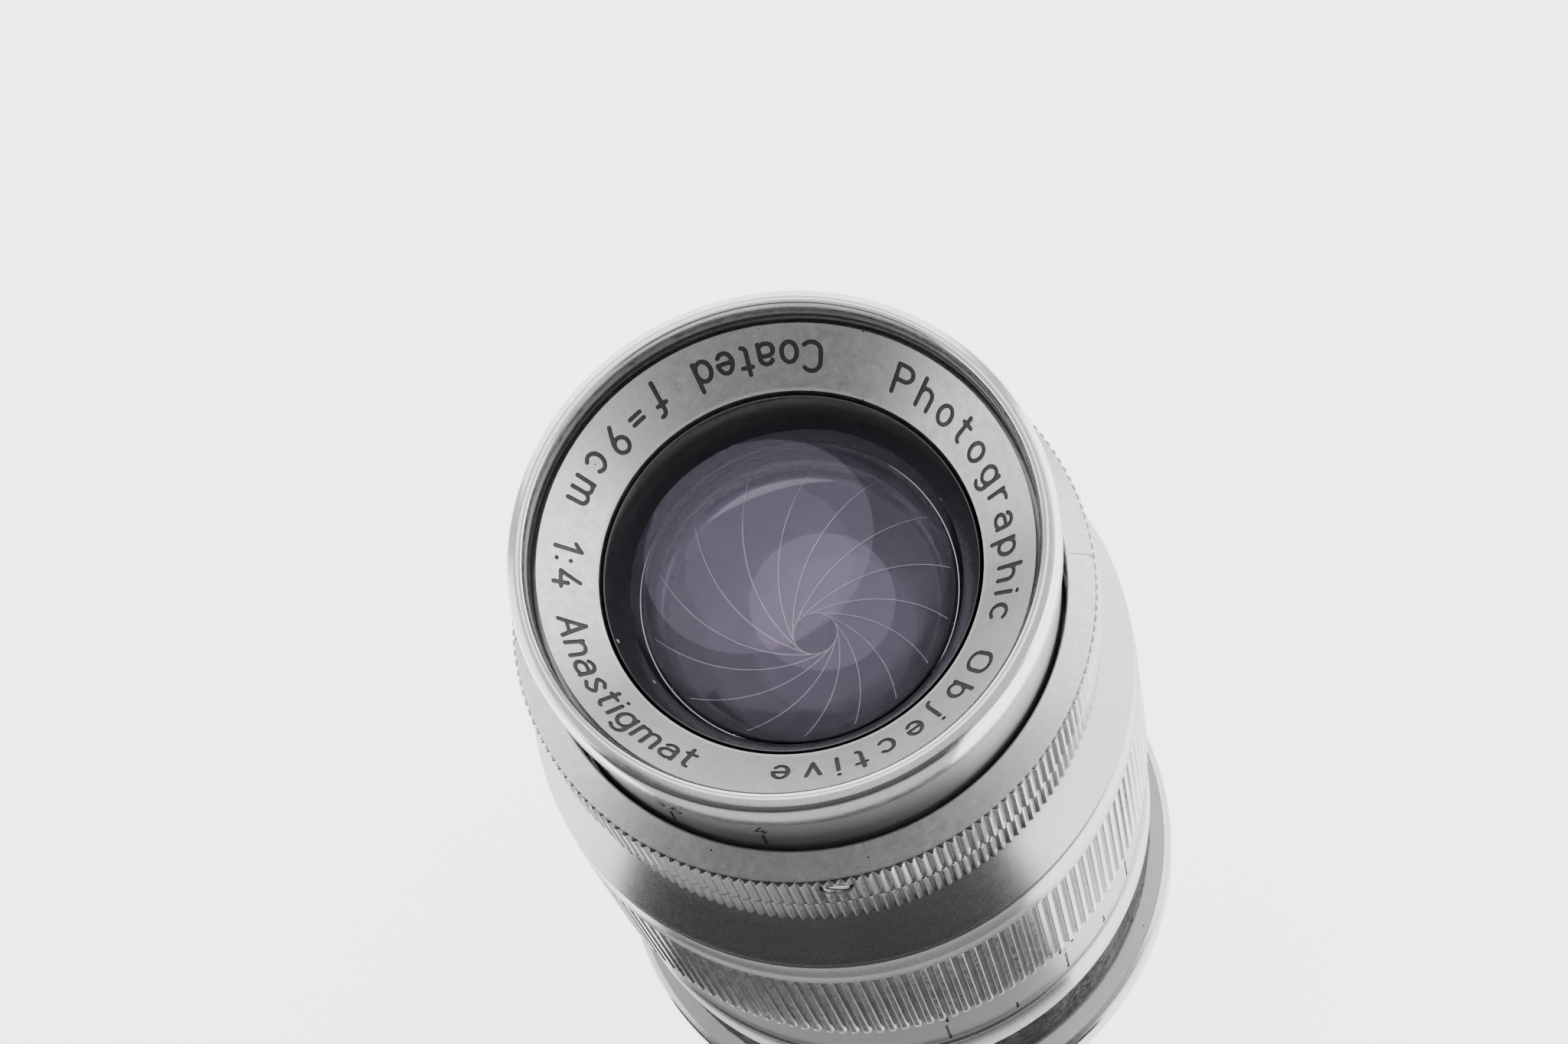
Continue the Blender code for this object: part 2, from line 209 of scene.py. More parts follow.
SATIN = metal("satin_chrome_fine", (0.43, 0.43, 0.428), (0.375, 0.375, 0.372), 0.43, grain=0.20,
              speck=0.03, turned=0.10, rough_spread=0.02)
SATIN_FACE = metal("satin_chrome_face", (0.53, 0.53, 0.528), (0.47, 0.47, 0.467), 0.42,
                   grain_scale=7000, grain=0.45, speck=0.04, turned=0.22)
SMOOTH = metal("smooth_chrome", (0.44, 0.44, 0.44), (0.40, 0.40, 0.40), 0.27, grain=0.04,
               speck=0.02, turned=0.07, rough_spread=0.02)
BRIGHT = metal("polished_chrome_fine", (0.72, 0.72, 0.72), (0.66, 0.66, 0.66), 0.18,
               grain=0.06, speck=0.012, turned=0.15, rough_spread=0.05)
KNURL = metal("knurl_chrome", (0.45, 0.447, 0.443), (0.37, 0.366, 0.362), 0.22, grain=0.12,
              speck=0.05, rough_spread=0.06)
BRASS = metal("turned_brass_fine", (0.66, 0.50, 0.24), (0.50, 0.36, 0.16), 0.30, grain=0.10,
              speck=0.03, turned=0.45)
# darker chrome for the groove roots of knurls and ribs: painted shade in the grooves
GROOVE_SHADE = metal("groove_painted_shade", (0.22, 0.215, 0.21), (0.09, 0.087, 0.084), 0.42, grain_scale=6000,
             grain=0.4, speck=0.10, rough_spread=0.1)
NICKEL = metal("aged_nickel", (0.36, 0.355, 0.345), (0.27, 0.265, 0.255), 0.38, grain=0.30,
               speck=0.10, turned=0.30)
INK = paint("engraving_black", (0.010, 0.010, 0.010), 0.50)
LACQUER = paint("black_lacquer_fine", (0.006, 0.006, 0.007), 0.20, 0.05, 0.05, coat=0.6,
                dust=0.05)
MATT = paint("matt_black_fine", (0.013, 0.013, 0.014), 0.62, 0.10, 0.35, dust=0.02)


def covering_material():
    m, nt, p = node_material("granular_covering")
    c = coords(nt)
    v = nt.nodes.new("ShaderNodeTexVoronoi")
    v.inputs["Scale"].default_value = 1700
    nt.links.new(c, v.inputs["Vector"])
    n = noise(nt, c, 4200, 4, 0.7)
    worn = noise(nt, c, 320, 4, 0.7)
    base = mix_col(nt, to_range(nt, worn, 0, 1, 0.45, 0.75), (0.014, 0.013, 0.013),
                   (0.050, 0.046, 0.043))
    base = mix_col(nt, to_range(nt, n, 0, 0.6, 0.55, 0.8), base, (0.09, 0.085, 0.08))
    nt.links.new(base, p.inputs["Base Color"])
    nt.links.new(to_range(nt, n, 0.55, 0.9, 0.3, 0.7), p.inputs["Roughness"])
    p.inputs["Specular IOR Level"].default_value = 0.3
    h = bump(nt, v.outputs["Distance"], 0.00012, 0.8)
    nt.links.new(bump(nt, n, 0.00003, 0.5, h), p.inputs["Normal"])
    return m


COVERING = covering_material()


def blade_material():
    m, nt, p = node_material("blade_blued_steel")
    c = coords(nt)
    n = noise(nt, c, 2600, 3, 0.6)
    broad = noise(nt, c, 300, 3, 0.6)
    base = mix_col(nt, to_range(nt, broad, 0, 1, 0.3, 0.7), (0.050, 0.045, 0.054),
                   (0.092, 0.083, 0.098))
    nt.links.new(base, p.inputs["Base Color"])
    p.inputs["Metallic"].default_value = 0.40
    nt.links.new(to_range(nt, n, 0.46, 0.60, 0.3, 0.7), p.inputs["Roughness"])
    nt.links.new(bump(nt, n, 0.000008, 0.15), p.inputs["Normal"])
    return m


def blade_edge_material():
    m, nt, p = node_material("blade_bare_edge")
    c = coords(nt)
    n = noise(nt, c, 1500, 3, 0.6)
    base = mix_col(nt, to_range(nt, n, 0, 1, 0.35, 0.65), (0.42, 0.39, 0.43), (0.76, 0.73, 0.77))
    nt.links.new(base, p.inputs["Base Color"])
    p.inputs["Metallic"].default_value = 0.8
    nt.links.new(to_range(nt, n, 0.35, 0.6, 0.3, 0.7), p.inputs["Roughness"])
    return m


BLADE = blade_material()
BLADE_EDGE = blade_edge_material()


def glass_material(name, tint, reflect, ior=1.6):
    m, nt, p = node_material(name)
    c = coords(nt)
    n = noise(nt, c, 380, 4, 0.6)
    p.inputs["Base Color"].default_value = (*tint, 1)
    p.inputs["Transmission Weight"].default_value = 1.0
    p.inputs["IOR"].default_value = ior
    p.inputs["Specular Tint"].default_value = (*reflect, 1)
    dust = specks(nt, c, 420, 0.05, 0.07)
    r = to_range(nt, n, 0.0, 0.010, 0.66, 0.85)
    nt.links.new(math_node(nt, "ADD", r, math_node(nt, "MULTIPLY", dust, 0.5)), p.inputs["Roughness"])
    return m


GLASS_FRONT = glass_material("coated_glass_front", (0.97, 0.95, 0.99), (0.62, 0.55, 0.74), 1.56)
GLASS_INNER = glass_material("coated_glass_inner", (0.99, 0.97, 1.0), (0.27, 0.23, 0.32), 1.58)
GLASS_REAR = glass_material("coated_glass_rear", (0.99, 0.98, 1.0), (0.45, 0.38, 0.55), 1.60)


# ================================================================ mesh helpers
def finish_object(me, name, mats, body, slot, nodes, angle=32):
    me.validate(clean_customdata=False)
    for poly in me.polygons:
        poly.use_smooth = True
    me.set_sharp_from_angle(angle=math.radians(angle))
    for mt in mats:
        me.materials.append(mt)
    ob = bpy.data.objects.new(name, me)
    COLL.objects.link(ob)
    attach(ob, body)
    if nodes:
        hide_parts(*nodes)
    return ob


def outward(me):
    """Makes every face of a closed mesh point out."""
    bm = bmesh.new()
    bm.from_mesh(me)
    bmesh.ops.remove_doubles(bm, verts=bm.verts, dist=1e-8)
    bmesh.ops.dissolve_degenerate(bm, edges=bm.edges, dist=1e-9)
    bmesh.ops.recalc_face_normals(bm, faces=bm.faces)
    if bm.calc_volume(signed=True) < 0:
        bmesh.ops.reverse_faces(bm, faces=bm.faces)
    bm.to_mesh(me)
    bm.free()


def mesh_from(name, verts, faces, mat_index=None):
    me = bpy.data.meshes.new(name)
    me.from_pydata([tuple(v) for v in verts], [], [tuple(int(k) for k in f) for f in faces])
    if mat_index is not None:
        me.polygons.foreach_set("material_index", np.array(mat_index, dtype=np.int32))
    me.update()
    return me


def fillet(prof, radius=0.06, steps=3, closed=True, limit=28):
    """Rounds the corners of an (r, z) outline. A point may carry its own radius as a third value."""
    pts = [(p[0], p[1], p[2] if len(p) > 2 else radius) for p in prof]
    out = []
    n = len(pts)
    for i in range(n):
        r, z, rad = pts[i]
        if not closed and i in (0, n - 1):
            out.append((r, z))
            continue
        a, b = pts[i - 1], pts[(i + 1) % n]
        p = np.array((r, z))
        u, v = np.array(a[:2]) - p, np.array(b[:2]) - p
        lu, lv = np.linalg.norm(u), np.linalg.norm(v)
        if lu < 1e-6 or lv < 1e-6:
            continue
        u, v = u / lu, v / lv
        cosang = float(np.clip(np.dot(u, v), -1, 1))
        turn = 180 - math.degrees(math.acos(cosang))
        if turn < limit or rad <= 0 or r < 1e-6:
            out.append((r, z))
            continue
        half = math.acos(cosang) / 2
        t = min(rad / math.tan(half), 0.42 * lu, 0.42 * lv)
        rr = t * math.tan(half)
        bis = (u + v) / np.linalg.norm(u + v)
        centre = p + bis * rr / math.sin(half)
        s, e = p + u * t - centre, p + v * t - centre
        a0, a1 = math.atan2(s[1], s[0]), math.atan2(e[1], e[0])
        d = (a1 - a0 + math.pi) % TAU - math.pi
        for k in range(steps + 1):
            g = a0 + d * k / steps
            out.append((centre[0] + rr * math.cos(g), centre[1] + rr * math.sin(g)))
    return out


def lathe_mesh(name, prof, n=256, closed=True, phases=None):
    prof = np.array(prof, float)
    rows = len(prof)
    a = np.arange(n) * TAU / n if phases is None else np.array(phases)
    n = len(a)
    verts = np.zeros((rows, n, 3))
    verts[..., 0] = prof[:, 0][:, None] * np.cos(a)[None]
    verts[..., 1] = prof[:, 0][:, None] * np.sin(a)[None]
    verts[..., 2] = prof[:, 1][:, None]
    faces = []
    for j in range(rows if closed else rows - 1):
        k = (j + 1) % rows
        if prof[j, 0] < 1e-9 and prof[k, 0] < 1e-9:
            continue
        for i in range(n):
            m = (i + 1) % n
            faces.append((j * n + i, j * n + m, k * n + m, k * n + i))
    return mesh_from(name, verts.reshape(-1, 3) * MM, faces)


def turned(name, prof, mat, body, slot, nodes, n=256, closed=True, radius=0.06, angle=32):
    me = lathe_mesh(name, fillet(prof, radius, closed=closed), n, closed)
    outward(me)
    return finish_object(me, name, [mat], body, slot, nodes, angle)


def cut_with(me, tools, name="cut"):
    """Boolean difference, applied at once; tools are bmesh objects in metres."""
    ob = bpy.data.objects.new(name, me)
    COLL.objects.link(ob)
    for k, bm in enumerate(tools):
        tm = bpy.data.meshes.new("%s_tool_%d" % (name, k))
        bmesh.ops.recalc_face_normals(bm, faces=bm.faces)
        bm.to_mesh(tm)
        bm.free()
        t = bpy.data.objects.new(tm.name, tm)
        COLL.objects.link(t)
        md = ob.modifiers.new("b", "BOOLEAN")
        md.operation = "DIFFERENCE"
        md.solver = "EXACT"
        md.object = t
        dg = bpy.context.evaluated_depsgraph_get()
        new = bpy.data.meshes.new_from_object(ob.evaluated_get(dg))
        ob.modifiers.clear()
        ob.data = new
        bpy.data.objects.remove(t, do_unlink=True)
        bpy.data.meshes.remove(tm)
    out = ob.data
    bpy.data.objects.remove(ob, do_unlink=True)
    out.materials.clear()
    return out


# ================================================================ engraving
def arc(cx, cy, rx, ry, a0, a1, n=None):
    n = n or max(4, int(abs(a1 - a0) / 15))
    return [(cx + rx * math.cos(math.radians(a0 + (a1 - a0) * k / n)),
             cy + ry * math.sin(math.radians(a0 + (a1 - a0) * k / n))) for k in range(n + 1)]


def spline(points, n=6):
    p = [points[0]] + list(points) + [points[-1]]
    out = []
    for i in range(1, len(p) - 2):
        for k in range(n):
            t = k / n
            c = []
            for d in (0, 1):
                a, b, e, f = p[i - 1][d], p[i][d], p[i + 1][d], p[i + 2][d]
                c.append(0.5 * (2 * b + (e - a) * t + (2 * a - 5 * b + 4 * e - f) * t * t
                                + (3 * b - a - 3 * e + f) * t ** 3))
            out.append(tuple(c))
    out.append(tuple(points[-1]))
    return out


DOT = 0.012
X = 0.70
GLYPHS = {
    "P": (0.56, [[(0, 0), (0, 1), (0.30, 1)] + arc(0.30, 0.74, 0.26, 0.26, 90, -90) + [(0, 0.48)]]),
    "h": (0.46, [[(0, 0), (0, 1)], arc(0.23, 0.44, 0.23, 0.26, 180, 0) + [(0.46, 0)]]),
    "o": (0.50, [arc(0.25, 0.35, 0.25, 0.35, 0, 360, 24)]),
    "t": (0.34, [[(0.12, 0.96), (0.12, 0.16)] + arc(0.28, 0.16, 0.16, 0.16, 180, 260),
                 [(0, X), (0.33, X)]]),
    "g": (0.50, [arc(0.25, 0.36, 0.25, 0.34, 0, 360, 24),
                 [(0.50, X), (0.50, -0.05)] + arc(0.27, -0.05, 0.23, 0.25, 0, -140)]),
    "r": (0.32, [[(0, 0), (0, X)], arc(0.24, 0.44, 0.24, 0.26, 180, 70)]),
    "a": (0.48, [arc(0.24, 0.46, 0.22, 0.24, 150, 0) + [(0.46, 0.0)],
                 [(0.46, 0.42), (0.20, 0.42)] + arc(0.20, 0.21, 0.20, 0.21, 90, 270)
                 + [(0.30, 0.0), (0.46, 0.10)]]),
    "p": (0.50, [[(0, X), (0, -0.30)], arc(0.25, 0.35, 0.25, 0.35, 0, 360, 24)]),
    "i": (0.0, [[(0, 0), (0, X)], [(0, 0.96), (0, 0.96 + DOT)]]),
    "c": (0.42, [arc(0.26, 0.35, 0.26, 0.35, 48, 312, 18)]),
    "O": (0.66, [arc(0.33, 0.67, 0.33, 0.33, 0, 180) + arc(0.33, 0.33, 0.33, 0.33, 180, 360)
                 + [(0.66, 0.67)]]),
    "b": (0.50, [[(0, 0), (0, 1)], arc(0.25, 0.35, 0.25, 0.35, 0, 360, 24)]),
    "d": (0.50, [[(0.50, 0), (0.50, 1)], arc(0.25, 0.35, 0.25, 0.35, 0, 360, 24)]),
    "j": (0.16, [[(0.16, X), (0.16, -0.12)] + arc(-0.02, -0.12, 0.18, 0.18, 0, -80),
                 [(0.16, 0.96), (0.16, 0.96 + DOT)]]),
    "e": (0.48, [[(0.0, 0.36), (0.49, 0.36)] + arc(0.25, 0.36, 0.24, 0.34, 0, 180)
                 + arc(0.25, 0.35, 0.25, 0.35, 180, 318)]),
    "v": (0.44, [[(0, X), (0.22, 0), (0.44, X)]]),
    "L": (0.48, [[(0, 1), (0, 0), (0.48, 0)]]),
    "l": (0.10, [[(0, 1), (0, 0.12)] + arc(0.12, 0.12, 0.12, 0.12, 180, 270)]),
    "n": (0.46, [[(0, 0), (0, X)], arc(0.23, 0.44, 0.23, 0.26, 180, 0) + [(0.46, 0)]]),
    "m": (0.76, [[(0, 0), (0, X)], arc(0.19, 0.50, 0.19, 0.20, 180, 0) + [(0.38, 0)],
                 arc(0.57, 0.50, 0.19, 0.20, 180, 0) + [(0.76, 0)]]),
    "s": (0.40, [spline([(0.39, 0.60), (0.21, 0.70), (0.03, 0.55), (0.20, 0.37), (0.39, 0.18),
                         (0.20, 0.0), (0.0, 0.10)])]),
    "f": (0.40, [arc(0.36, 0.80, 0.18, 0.20, 80, 180) + [(0.10, -0.18)], [(0.0, 0.62), (0.34, 0.62)]]),
    "=": (0.42, [[(0, 0.58), (0.42, 0.58)], [(0, 0.34), (0.42, 0.34)]]),
    ":": (0.0, [[(0, 0.10), (0, 0.10 + DOT)], [(0, 0.62), (0, 0.62 + DOT)]]),
    ".": (0.0, [[(0, 0.0), (0, DOT)]]),
    "0": (0.50, [arc(0.25, 0.75, 0.25, 0.25, 0, 180) + arc(0.25, 0.25, 0.25, 0.25, 180, 360)
                 + [(0.50, 0.75)]]),
    "1": (0.24, [[(0, 0.74), (0.24, 1), (0.24, 0)]]),
    "2": (0.48, [arc(0.24, 0.76, 0.23, 0.24, 165, -35) + [(0.0, 0.0), (0.48, 0.0)]]),
    "3": (0.48, [arc(0.24, 0.76, 0.22, 0.24, 150, -90) + arc(0.22, 0.26, 0.26, 0.26, 90, -150)]),
    "4": (0.54, [[(0.34, 1), (0, 0.28), (0.54, 0.28)], [(0.40, 0.55), (0.40, 0)]]),
    "5": (0.48, [[(0.44, 1), (0.06, 1), (0.03, 0.56)] + arc(0.22, 0.32, 0.26, 0.32, 120, -140)]),
    "6": (0.50, [arc(0.25, 0.28, 0.25, 0.28, 180, 540, 24) + [(0.04, 0.52), (0.38, 1)]]),
    "7": (0.48, [[(0, 1), (0.48, 1), (0.16, 0)]]),
    "8": (0.50, [arc(0.25, 0.77, 0.21, 0.23, 0, 360, 20), arc(0.25, 0.27, 0.25, 0.27, 0, 360, 22)]),
    "9": (0.50, [arc(0.25, 0.72, 0.25, 0.28, 0, 360, 24), [(0.46, 0.52), (0.14, 0.0)]]),
    "%": (0.84, [arc(0.22, 0.35, 0.22, 0.24, 40, 320, 16) + arc(0.62, 0.35, 0.22, 0.24, 220, -140 + 360 * 0, 2)[:0]
                 + [(0.45, 0.42)], arc(0.22, 0.35, 0.22, 0.22, 0, 360, 20),
                 arc(0.66, 0.35, 0.22, 0.22, 0, 360, 20)]),
    "|": (0.0, [[(0, 0), (0, 1)]]),
}
GLYPHS["%"] = (0.88, [arc(0.22, 0.38, 0.22, 0.24, 0, 360, 20), arc(0.66, 0.38, 0.22, 0.24, 0, 360, 20)])


def word(text, height, gap=0.24, space=0.46, spread=1.0):
    """Strokes of a line of text, from x = 0, and its width. Sizes in mm."""
    x, strokes = 0.0, []
    for ch in text:
        if ch == " ":
            x += space * height * spread
            continue
        w, lines = GLYPHS[ch]
        for line in lines:
            strokes.append([(x + px * height, py * height) for px, py in line])
        x += w * height + gap * height * spread
    return strokes, x - gap * height * spread


def stroke_field(uu, vv, period, strokes, half):
    """Distance in mm from each grid point to the nearest stroke's edge. uu wraps at period."""
    field = np.full(uu.shape, 9.0)
    for st in strokes:
        st = np.array(st, float)
        w = half
        lo, hi = st.min(0) - 0.6, st.max(0) + 0.6
        mid = (lo[0] + hi[0]) / 2
        du = (uu - mid + period / 2) % period - period / 2 + mid
        mask = (du > lo[0]) & (du < hi[0]) & (vv > lo[1]) & (vv < hi[1])
        if not mask.any():
            continue
        px, py = du[mask], vv[mask]
        best = np.full(px.shape, 9.0)
        for (x0, y0), (x1, y1) in zip(st[:-1], st[1:]):
            dx, dy = x1 - x0, y1 - y0
            ll = dx * dx + dy * dy
            t = np.clip(((px - x0) * dx + (py - y0) * dy) / max(ll, 1e-12), 0, 1)
            best = np.minimum(best, np.hypot(px - x0 - t * dx, py - y0 - t * dy))
        field[mask] = np.minimum(field[mask], best - w)
    return field


def engraved_band(angles, rows, surface, field, depth, first=0):
    """A band of quads all round, with the strokes cut into it. Returns vertices in mm, faces and
    material indices; the first row's and the last row's vertices come first, for joining."""
    nu, nv = len(angles), len(rows)
    f = field + 1e-7
    verts, faces, mats = [], [], []
    index = {}

    def vert(key, ang, row, d):
        k = (key, d > 0)
        if k not in index:
            index[k] = len(verts)
            verts.append(surface(ang, row, d))
        return index[k]

    for j in (0, nv - 1):
        for i in range(nu):
            vert((i, j), angles[i], rows[j], 0)
    for j in range(nv - 1):
        for i in range(nu):
            m = (i + 1) % nu
            cell = [(i, j), (m, j), (m, j + 1), (i, j + 1)]
            s = [f[q[1], q[0]] for q in cell]
            if min(s) > 0:
                faces.append([vert(q, angles[q[0]], rows[q[1]], 0) for q in cell])
                mats.append(0)
                continue
            if max(s) < 0:
                faces.append([vert(q, angles[q[0]], rows[q[1]], depth) for q in cell])
                mats.append(1)
                continue
            for tri in ((0, 1, 2), (0, 2, 3)):
                q = [cell[t] for t in tri]
                sv = [s[t] for t in tri]
                top, low, cross = [], [], []
                for k in range(3):
                    n = (k + 1) % 3
                    a = angles[q[k][0]]
                    if sv[k] > 0:
                        top.append(vert(q[k], a, rows[q[k][1]], 0))
                    else:
                        low.append(vert(q[k], a, rows[q[k][1]], depth))
                    if (sv[k] > 0) != (sv[n] > 0):
                        t = sv[k] / (sv[k] - sv[n])
                        b = angles[q[n][0]]
                        db = (b - a + math.pi) % TAU - math.pi
                        ang = a + db * t
                        row = rows[q[k][1]] + (rows[q[n][1]] - rows[q[k][1]]) * t
                        key = tuple(sorted((q[k], q[n])))
                        tv, bv = vert(key, ang, row, 0), vert(key, ang, row, depth)
                        top.append(tv)
                        low.append(bv)
                        cross.append((tv, bv, sv[k] > 0))
                if len(top) > 2:
                    faces.append(top)
                    mats.append(0)
                if len(low) > 2:
                    faces.append(low)
                    mats.append(1)
                if len(cross) == 2:
                    (t0, b0, down), (t1, b1, _) = cross
                    faces.append([t1, t0, b0, b1] if down else [t0, t1, b1, b0])
                    mats.append(1)
    return verts, faces, mats


def joined_ring(name, angles, band, prof_rows, extra=None):
    """Closes an engraved band with a lathe profile that runs from its last row back to its first.
    prof_rows: function(angle array) -> array (rows, n, 3) in mm between the two, both left out."""
    verts, faces, mats = band
    n = len(angles)
    verts = [tuple(v) for v in verts]
    base = len(verts)
    rows = prof_rows(np.array(angles))
    for r in rows:
        verts.extend(map(tuple, r))
    chain = [list(range(n, 2 * n))] + [list(range(base + k * n, base + (k + 1) * n))
                                       for k in range(len(rows))] + [list(range(n))]
    for a, b in zip(chain[:-1], chain[1:]):
        for i in range(n):
            m = (i + 1) % n
            faces.append([a[i], a[m], b[m], b[i]])
            mats.append(0)
    me = mesh_from(name, np.array(verts) * MM, faces, mats)
    outward(me)
    return me


def rows_of(prof, radius_of=None):
    """A function that makes the rows of a profile, with an optional radius rule for teeth."""
    def make(a):
        out = []
        for r, z in prof:
            rr = np.full(a.shape, r) if radius_of is None else radius_of(r, z, a)
            out.append(np.stack([rr * np.cos(a), rr * np.sin(a), np.full(a.shape, z)], 1))
        return np.array(out)
    return make


def tooth_angles(teeth, table, phase=0.0):
    """Column angles and groove depths (0 crest, 1 root) for a knurl."""
    a, g = [], []
    for t in range(teeth):
        for f, d in table:
            a.append(math.radians(phase) + (t + f) * TAU / teeth)
            g.append(d)
    return np.array(a), np.array(g)


def grooved(tip, depth, g, z0=-1e9, z1=1e9):
    def rule(r, z, a):
        if z < z0 or z > z1:
            return np.full(a.shape, float(r))
        return np.minimum(float(r), tip - depth * g)
    return rule


def split_rows(prof, step):
    """Adds points to an outline so that no piece of it is longer than step."""
    out = [prof[0]]
    for a, b in zip(prof[:-1], prof[1:]):
        n = max(1, int(math.ceil(math.hypot(b[0] - a[0], b[1] - a[1]) / step)))
        out += [(a[0] + (b[0] - a[0]) * k / n, a[1] + (b[1] - a[1]) * k / n) for k in range(1, n + 1)]
    return out


V_TEETH = ((0.00, 0.10), (0.05, 0.0), (0.25, 0.0), (0.30, 0.10), (0.58, 0.94), (0.64, 1.0),
           (0.70, 1.0), (0.76, 0.94))
RIB_TEETH = ((0.00, 0.12), (0.05, 0.0), (0.47, 0.0), (0.52, 0.12), (0.66, 1.0), (0.86, 1.0))

GLYPHS["A"] = (0.58, [[(0, 0), (0.29, 1), (0.58, 0)], [(0.10, 0.30), (0.48, 0.30)]])
GLYPHS["C"] = (0.52, [arc(0.31, 0.69, 0.31, 0.31, 40, 180) + arc(0.31, 0.31, 0.31, 0.31, 180, 320)])

HEAD, MOUNT, GUIDE, CONTROL = "lens_head", "mount", "focus_guide", "aperture_control"


def fitted_word(text, height, width):
    w0 = word(text, height, gap=0.0, space=0.0)[1]
    w1 = word(text, height, gap=0.2, space=0.45)[1]
    k = (width - w0) / max(w1 - w0, 1e-6)
    return word(text, height, gap=0.2 * k, space=0.45 * k)[0]


def frange(lo, hi, step):
    n = max(1, int(round((hi - lo) / step)))
    return [lo + (hi - lo) * k / n for k in range(n + 1)]


def merged(*lists):
    out = []
    for part in lists:
        for v in part:
            if not out or v - out[-1] > 1e-6:
                out.append(v)
    return out


# ================================================================ front rim with its filter thread
def tri(x):
    """A rounded triangle wave: 1 at whole numbers, 0 half way."""
    t = 1 - 2 * np.abs((x + 0.5) % 1 - 0.5)
    return t * t * (3 - 2 * t) * 0.45 + t * 0.55


def front_rim():
    n = 512
    a = np.arange(n) * TAU / n
    outer = fillet([(19.4, 87.6, 0), (19.4, 86.5), (21.0, 86.5, 0.12), (21.0, 89.55, 0.3),
                    (20.86, 90.25, 0.45), (20.1, 90.6, 0.4), (19.72, 90.45, 0.3),
                    (19.52, 90.1, 0.1), (19.5, 89.9, 0)], 0.08, 4, closed=False, limit=12)[1:-1]
    rows = rows_of(outer)(a)
    wall = []
    for z in frange(89.98, 88.02, 0.049):
        env = min(1.0, (90.02 - z) / 0.25) * min(1.0, (z - 87.98) / 0.3)
        r = 19.5 - 0.27 * max(env, 0) * tri(z / 0.5 - a / TAU)
        wall.append(np.stack([r * np.cos(a), r * np.sin(a), np.full(n, z)], 1))
    low = rows_of([(19.5, 87.95), (19.45, 87.8)])(a)
    rows = np.concatenate([rows, np.array(wall), low])
    faces = []
    m = len(rows)
    for j in range(m):
        k = (j + 1) % m
        for i in range(n):
            q = (i + 1) % n
            faces.append((j * n + i, j * n + q, k * n + q, k * n + i))
    me = mesh_from("front_rim_fine", rows.reshape(-1, 3) * MM, faces)
    outward(me)
    finish_object(me, "front_rim_fine", [BRIGHT], HEAD, "polished_chrome", ["front_rim"], 34)


front_rim()


# ================================================================ name ring
def name_ring():
    n = 1080
    a = np.arange(n) * TAU / n
    r0, z0, r1, z1 = 14.95, 84.65, 19.05, 88.1
    length = math.hypot(r1 - r0, z1 - z0)
    cr, cz = (r1 - r0) / length, (z1 - z0) / length
    ref = 17.0
    strokes = []
    for text, a0, a1 in (("Coated", 61.2, 94.4), ("f=9cm", 104.7, 141.0), ("1:4", 152.1, 164.5),
                         ("Anastigmat", 173.3, 226.2)):
        w = math.radians(a1 - a0) * ref
        for st in fitted_word(text, 2.36, w):
            strokes.append([(math.radians(a0) * ref + x, 3.86 - y) for x, y in st])
    for text, a0, a1 in (("Photographic", 40.2, -38.0), ("Objective", -48.5, -113.3)):
        w = math.radians(a0 - a1) * ref
        for st in fitted_word(text, 2.36, w):
            strokes.append([(math.radians(a0) * ref - x, 1.48 + y) for x, y in st])
    rows = merged(frange(0, 0.66, 0.22), frange(0.66, 4.72, 0.098), frange(4.72, length, 0.21))
    uu, vv = np.meshgrid(a * ref, rows)
    field = stroke_field(uu, vv, TAU * ref, strokes, 0.182)

    def surface(ang, v, d):
        r = r0 + cr * v + cz * d
        z = z0 + cz * v - cr * d
        return (r * math.cos(ang), r * math.sin(ang), z)

    band = engraved_band(a, rows, surface, field, 0.07)
    rest = fillet([(r0 + cr * 5.2, z0 + cz * 5.2), (r1, z1), (19.1, 88.0), (19.1, 86.6), (18.4, 86.3),
                   (18.4, 85.6), (14.85, 82.9), (14.85, 84.6), (r0, z0)], 0.04, 2, closed=False)
    me = joined_ring("name_ring_engraved", a, band, rows_of(rest[3:-1]))
    finish_object(me, "name_ring_engraved", [SATIN_FACE, INK], HEAD, "satin_chrome", ["name_ring"],
                  34)


name_ring()

APERTURES = ((-116.6, "4"), (-137.4, "5.6"), (-155.9, "8"), (-169.4, "11"), (180.0, "16"),
             (172.4, "22"), (166.0, "32"))


